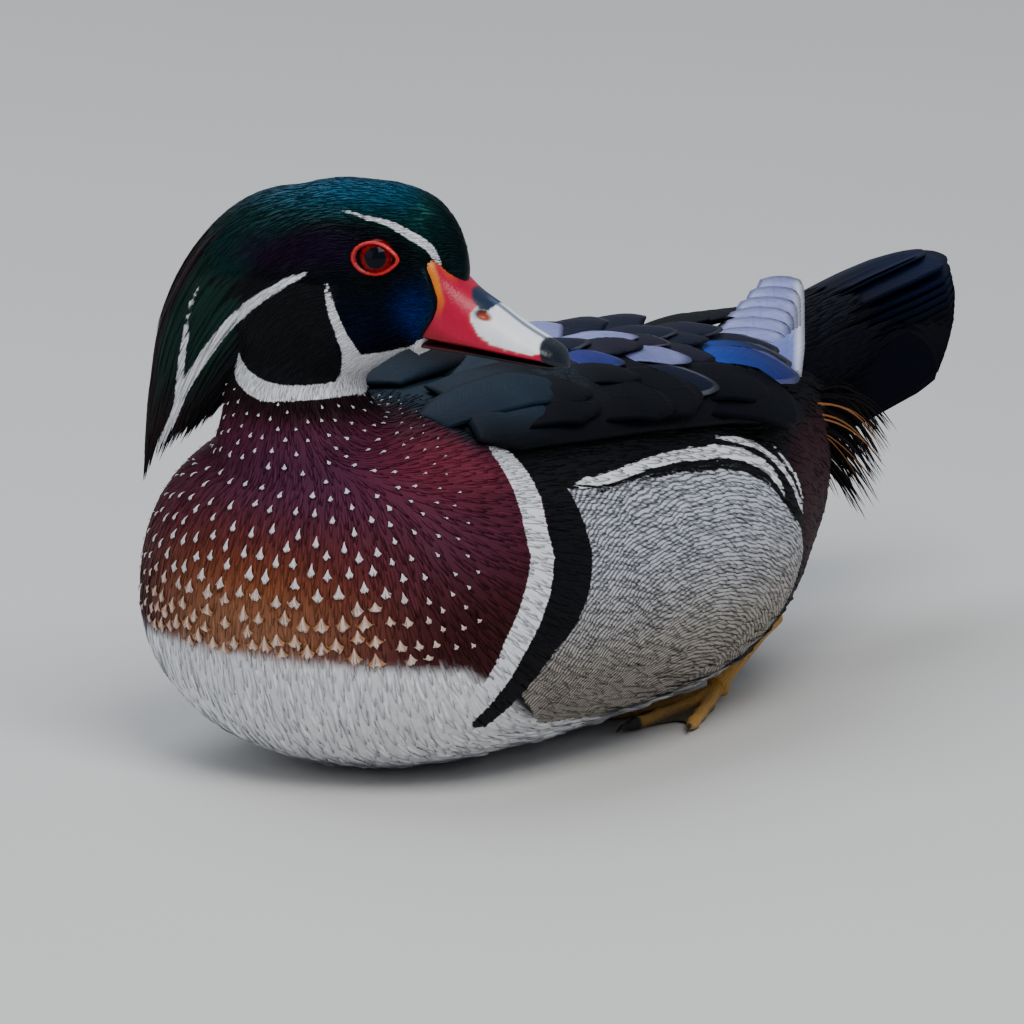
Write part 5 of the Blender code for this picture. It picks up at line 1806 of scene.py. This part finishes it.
def tail_coverts():
    """Soft feathers over and under the root of the tail."""
    count, rows = 1000, 7
    turn = draw.uniform(-0.5, 1.5, count) * math.pi
    start = draw.uniform(110, 142, count)
    long = draw.uniform(18, 28, count)
    places = np.linspace(0, 1, rows)
    y = start[:, None] + long[:, None] * places
    half, top, bottom = (np.interp(y, TAIL_COVERTS[:, 0], TAIL_COVERTS[:, k]) for k in (1, 2, 3))
    low = bottom + 0.35 * (top - bottom)
    lift = (0.3 * places)[None, :]
    across, over = np.cos(turn)[:, None], np.sin(turn)[:, None]
    x = (half + lift) * across
    z = low + np.where(over > 0, top - low, low - bottom) * over + lift * over
    axes = np.stack([x, y, z], axis=-1)
    faced = np.stack([across + 0 * y, -0.05 + 0 * y, over + 0 * y], axis=-1)
    tones = np.tile(np.array((0.0025, 0.003, 0.007)), (count, 2, 1))
    piece = wing_vanes(
        "tail_coverts", axes, faced, draw.uniform(0.9, 1.6, count), LOCK_SHAPE, 3, tones,
        np.zeros(count), np.full(count, 0.3), thick=0.2,
    )
    return piece


def hanging_plumes():
    """Long loose plumes in strands: each strand follows its plume's bend and fans a little from it."""
    rows = 12
    places = np.linspace(0, 1, rows)[None, :, None]
    axes, tones, widths = [], [], []
    for side in SIDES:
        for root, tip, bend, golden in PLUMES:
            root, tip = (np.array(end) * (side, 1, 1) for end in (root, tip))
            strands = 2 if golden else 26
            thinner = 0.4 if golden else 0.85
            widths.append(draw.uniform(0.35, 0.8, strands) * thinner)
            spread = draw.normal(0, 1, (strands, 1, 3)) * (0.6, 1.8, 2.6)
            root, tip = (end + np.array((side * 2.2, 0, 1.0)) * golden for end in (root, tip))
            start = root + draw.normal(0, 0.8, (strands, 1, 3))
            end = tip + spread - (tip - root) * draw.uniform(0, 0.3, (strands, 1, 1))
            arc = np.sin(math.pi * places) * bend * np.array((0.5 * side, 0, 1))
            axes.append(start + places * (end - start) + arc * draw.uniform(0.85, 1.1, (strands, 1, 1)))
            tone = np.array((0.30, 0.12, 0.040)) if golden else np.array((0.004, 0.003, 0.004))
            tones.append(np.tile(tone, (strands, 2, 1)) * draw.uniform(0.6, 1.2, (strands, 1, 1)))
    axes, tones = np.concatenate(axes), np.concatenate(tones)
    faced = np.broadcast_to(np.sign(axes[:, :1, :1]) * PLUME_FACE, axes.shape)
    piece = wing_vanes(
        "hanging_plumes", axes, faced, np.concatenate(widths), LOCK_SHAPE, 3, tones,
        np.zeros(len(axes)), np.full(len(axes), 0.2), thick=0.2,
    )
    return piece


tail_stump()
tail_feathers()
tail_coverts()
hanging_plumes()

# Feet
# Legs folded under the belly: a scaly shank, three toes joined by webs and a small raised hind toe, all
# dull yellow with dusky webs and dark claws.

HEEL = np.array([31.5, 90.0, 18.5])
TOE_ROOT = np.array([33.0, 62.0, 4.2])
TOE_TIPS = np.array([(24, 27, 2.2), (36, 17, 2.2), (49, 28, 2.2)], float)
HIND_TOE = np.array([(33, 67, 6.5), (27.5, 70, 5.4), (22, 72, 4.6)], float)
SHANK_RADIUS = 2.6
TOE_RADIUS = 1.9
FOOT_VOXEL = 0.45
LEG_YELLOW = (0.48, 0.25, 0.045)
WEB_DUSK = (0.10, 0.075, 0.045)
CLAW_DARK = (0.02, 0.016, 0.014)


def limb(line, radii, spokes=20):
    """A round tapering tube along a line, held off the floor."""
    run = np.gradient(line, axis=0)
    run /= np.linalg.norm(run, axis=1)[:, None]
    across = np.cross(run, UP)
    across /= np.linalg.norm(across, axis=1)[:, None]
    over = np.cross(across, run)
    turn = np.linspace(0, 2 * math.pi, spokes, endpoint=False)[:, None]
    spoke = np.cos(turn) * across[:, None] + np.sin(turn) * over[:, None]
    rings = line[:, None] + radii[:, None, None] * spoke
    rings[..., 2] = np.maximum(rings[..., 2], 0.0)
    return loft(rings)


def front_toe(tip):
    """A toe with swollen joints, from the toes' root to the claw's tip."""
    share = np.linspace(-0.08, 1.12, 60)
    line = TOE_ROOT + share[:, None] * (tip - TOE_ROOT)
    line[:, 2] = np.interp(share, [0, 0.3, 0.95, 1.03, 1.12], [3.4, 1.9, 1.8, 2.3, 0.8])
    joints = sum(np.exp(-(((share - place) / 0.05) ** 2)) for place in (0.32, 0.62, 0.86))
    taper = np.interp(share, [-0.08, 0.1, 0.95, 1.0, 1.12], [1.15, 0.92, 0.74, 0.46, 0.06])
    return limb(line, TOE_RADIUS * (taper + 0.18 * joints))


def web(first, second):
    """Skin between two toes: rays from the toes' root, whose reach dips between the tips as a sine."""
    across = np.linspace(0, 1, 20)
    share = np.linspace(0.04, 1, 24)[:, None]
    reach = share * (0.9 - 0.22 * np.sin(math.pi * across))
    ends = (1 - across)[:, None] * (first - TOE_ROOT) + across[:, None] * (second - TOE_ROOT)
    upper = TOE_ROOT + reach[..., None] * ends
    upper[..., 2] = 1.25 + 0.12 * np.sin(across * 25 + share * 9)
    lower = upper[1:-1, 1:-1] * (1, 1, 0) + (0, 0, 0.35)
    faces, _ = tuft_faces(24, 20, 1)
    return np.concatenate([upper.reshape(-1, 3), lower.reshape(-1, 3)]), faces, np.zeros((0, 3), int)


def foot(side):
    """One leg with its toes and webs run together; the right one mirrors the left."""
    share = np.linspace(0, 1, 50)
    shank = HEEL + share[:, None] * (TOE_ROOT - HEEL)
    thick = SHANK_RADIUS * np.interp(share, [0, 0.25, 0.8, 1], [1.25, 0.95, 0.9, 1.15])
    hind = np.array([np.interp(np.linspace(0, 2, 24), [0, 1, 2], HIND_TOE[:, k]) for k in range(3)]).T
    parts = [limb(shank, thick), limb(hind, np.interp(np.linspace(0, 1, 24), [0, 0.6, 1], [1.5, 1.1, 0.25]))]
    parts += [front_toe(tip) for tip in TOE_TIPS]
    parts += [web(first, second) for first, second in zip(TOE_TIPS[:-1], TOE_TIPS[1:])]
    points, quads, fans = gathered(parts)
    name = "webbed_foot_" + SIDE_NAMES[side]
    piece = outwards(made_mesh(name, mirrored_to(points, side), quads, fans))
    modified(piece, "REMESH", mode="VOXEL", voxel_size=FOOT_VOXEL * MM)
    modified(piece, "SMOOTH", factor=SMOOTHING, iterations=4)
    points = mirrored_to(place_of(piece), side)
    points[:, 2] = np.maximum(points[:, 2], 0)
    moved(piece, mirrored_to(points, side))
    ways, away = TOE_TIPS - TOE_ROOT, points - TOE_ROOT
    claw = np.max([ramp(away @ way / (way @ way), 1.0, 1.04) for way in ways], axis=0)
    bone = np.min([np.linalg.norm(np.cross(away, way), axis=1) / np.linalg.norm(way) for way in ways], axis=0)
    webbed = ramp(bone, 1.4, 3.0) * ramp(points[:, 2], 2.6, 1.8) * ramp(points[:, 1], 60, 54)
    shade = mix(np.tile(LEG_YELLOW, (len(points), 1)), WEB_DUSK, webbed)
    shaded(piece, mix(shade, CLAW_DARK, claw))
    return settled(piece, leg_paint, "leg_skin", "foot_" + SIDE_NAMES[side])


paint = Paint("leg_skin", Specular_IOR_Level=0.4)
place = paint.node("TexCoord", out="Object")
scales = paint.node("TexVoronoi", {"feature": "DISTANCE_TO_EDGE"}, {"Vector": place, "Scale": 900.0})
stain = paint.noise(place, 250.0, 3.0)
paint.bump(scales.step(0.0, 0.12), 0.5, 0.0004)
leg_colour = paint.scaled(paint.attribute("shade", "Color"), 0.62 + scales.step(0.0, 0.1) * 0.3 + stain * 0.3)
leg_paint = paint.finish(Base_Color=leg_colour, Roughness=0.48 + stain * 0.15)
for side in SIDES:
    foot(side)

# Stage
# A plain pale floor, broad soft lights and the camera at the photograph's angle.

SCALE = 3.85  # pixels to a millimetre
AZIMUTH, ELEVATION, DISTANCE = math.radians(36), math.radians(12), 5.0
FRAME_WIDTH = 1024
AIM_ACROSS, AIM_UP = 38, 215.9  # pixels from the frame's origin to the picture's middle
FLOOR_REACH = 9000

floor_corners = np.array([(-1, -1, 0), (1, -1, 0), (1, 1, 0), (-1, 1, 0)], float)
floor = made_mesh("floor", floor_corners * FLOOR_REACH, [(0, 1, 2, 3)])
paint = Paint("floor", Roughness=0.6, Specular_IOR_Level=0.2)
mottle = paint.noise(paint.node("TexCoord", out="Object"), 3.0)
floor_colour = paint.blend((0.60, 0.59, 0.57, 1), (0.65, 0.64, 0.62, 1), mottle)
floor.data.materials.append(paint.finish(Base_Color=floor_colour))

world = bpy.data.worlds.new("studio")
world.use_nodes = True
world.node_tree.nodes["Background"].inputs[0].default_value = (0.80, 0.87, 1.0, 1)
world.node_tree.nodes["Background"].inputs[1].default_value = 0.34
bpy.context.scene.world = world

across = np.array([math.cos(AZIMUTH), math.sin(AZIMUTH), 0])
ahead = np.array([-math.sin(AZIMUTH), math.cos(AZIMUTH), 0])
above = ahead * math.sin(ELEVATION) + UP * math.cos(ELEVATION)
look = ahead * math.cos(ELEVATION) - UP * math.sin(ELEVATION)
aim = across * (AIM_ACROSS / SCALE) * MM + above * (AIM_UP / SCALE) * MM


def soft_light(name, place, size, power, colour):
    """A square lamp at a place, turned to the bird."""
    lamp = bpy.data.lights.new(name, "AREA")
    lamp.size, lamp.energy, lamp.color = size, power, colour
    holder = bpy.data.objects.new(name, lamp)
    bpy.context.scene.collection.objects.link(holder)
    holder.location = Vector(place)
    holder.rotation_mode = "QUATERNION"
    holder.rotation_quaternion = (Vector((0, 0, 0.08)) - Vector(place)).to_track_quat("-Z", "Y")


soft_light("key", across * 0.35 - ahead * 0.9 + UP * 1.35, 0.9, 20, (1.0, 0.99, 0.97))
soft_light("sky", -across * 0.5 + ahead * 0.7 + UP * 1.6, 1.4, 20, (0.86, 0.92, 1.0))
soft_light("fill", -across * 1.4 - ahead * 0.8 + UP * 0.6, 1.2, 4, (0.95, 0.97, 1.0))

lens = bpy.data.cameras.new("camera")
lens.sensor_width = 36
lens.lens = 36 * SCALE * DISTANCE / MM / FRAME_WIDTH
lens.clip_end = 100
camera = bpy.data.objects.new("camera", lens)
camera.location = Vector(aim - look * DISTANCE)
camera.rotation_mode = "QUATERNION"
camera.rotation_quaternion = Vector(look).to_track_quat("-Z", "Y")
bpy.context.scene.collection.objects.link(camera)
bpy.context.scene.camera = camera
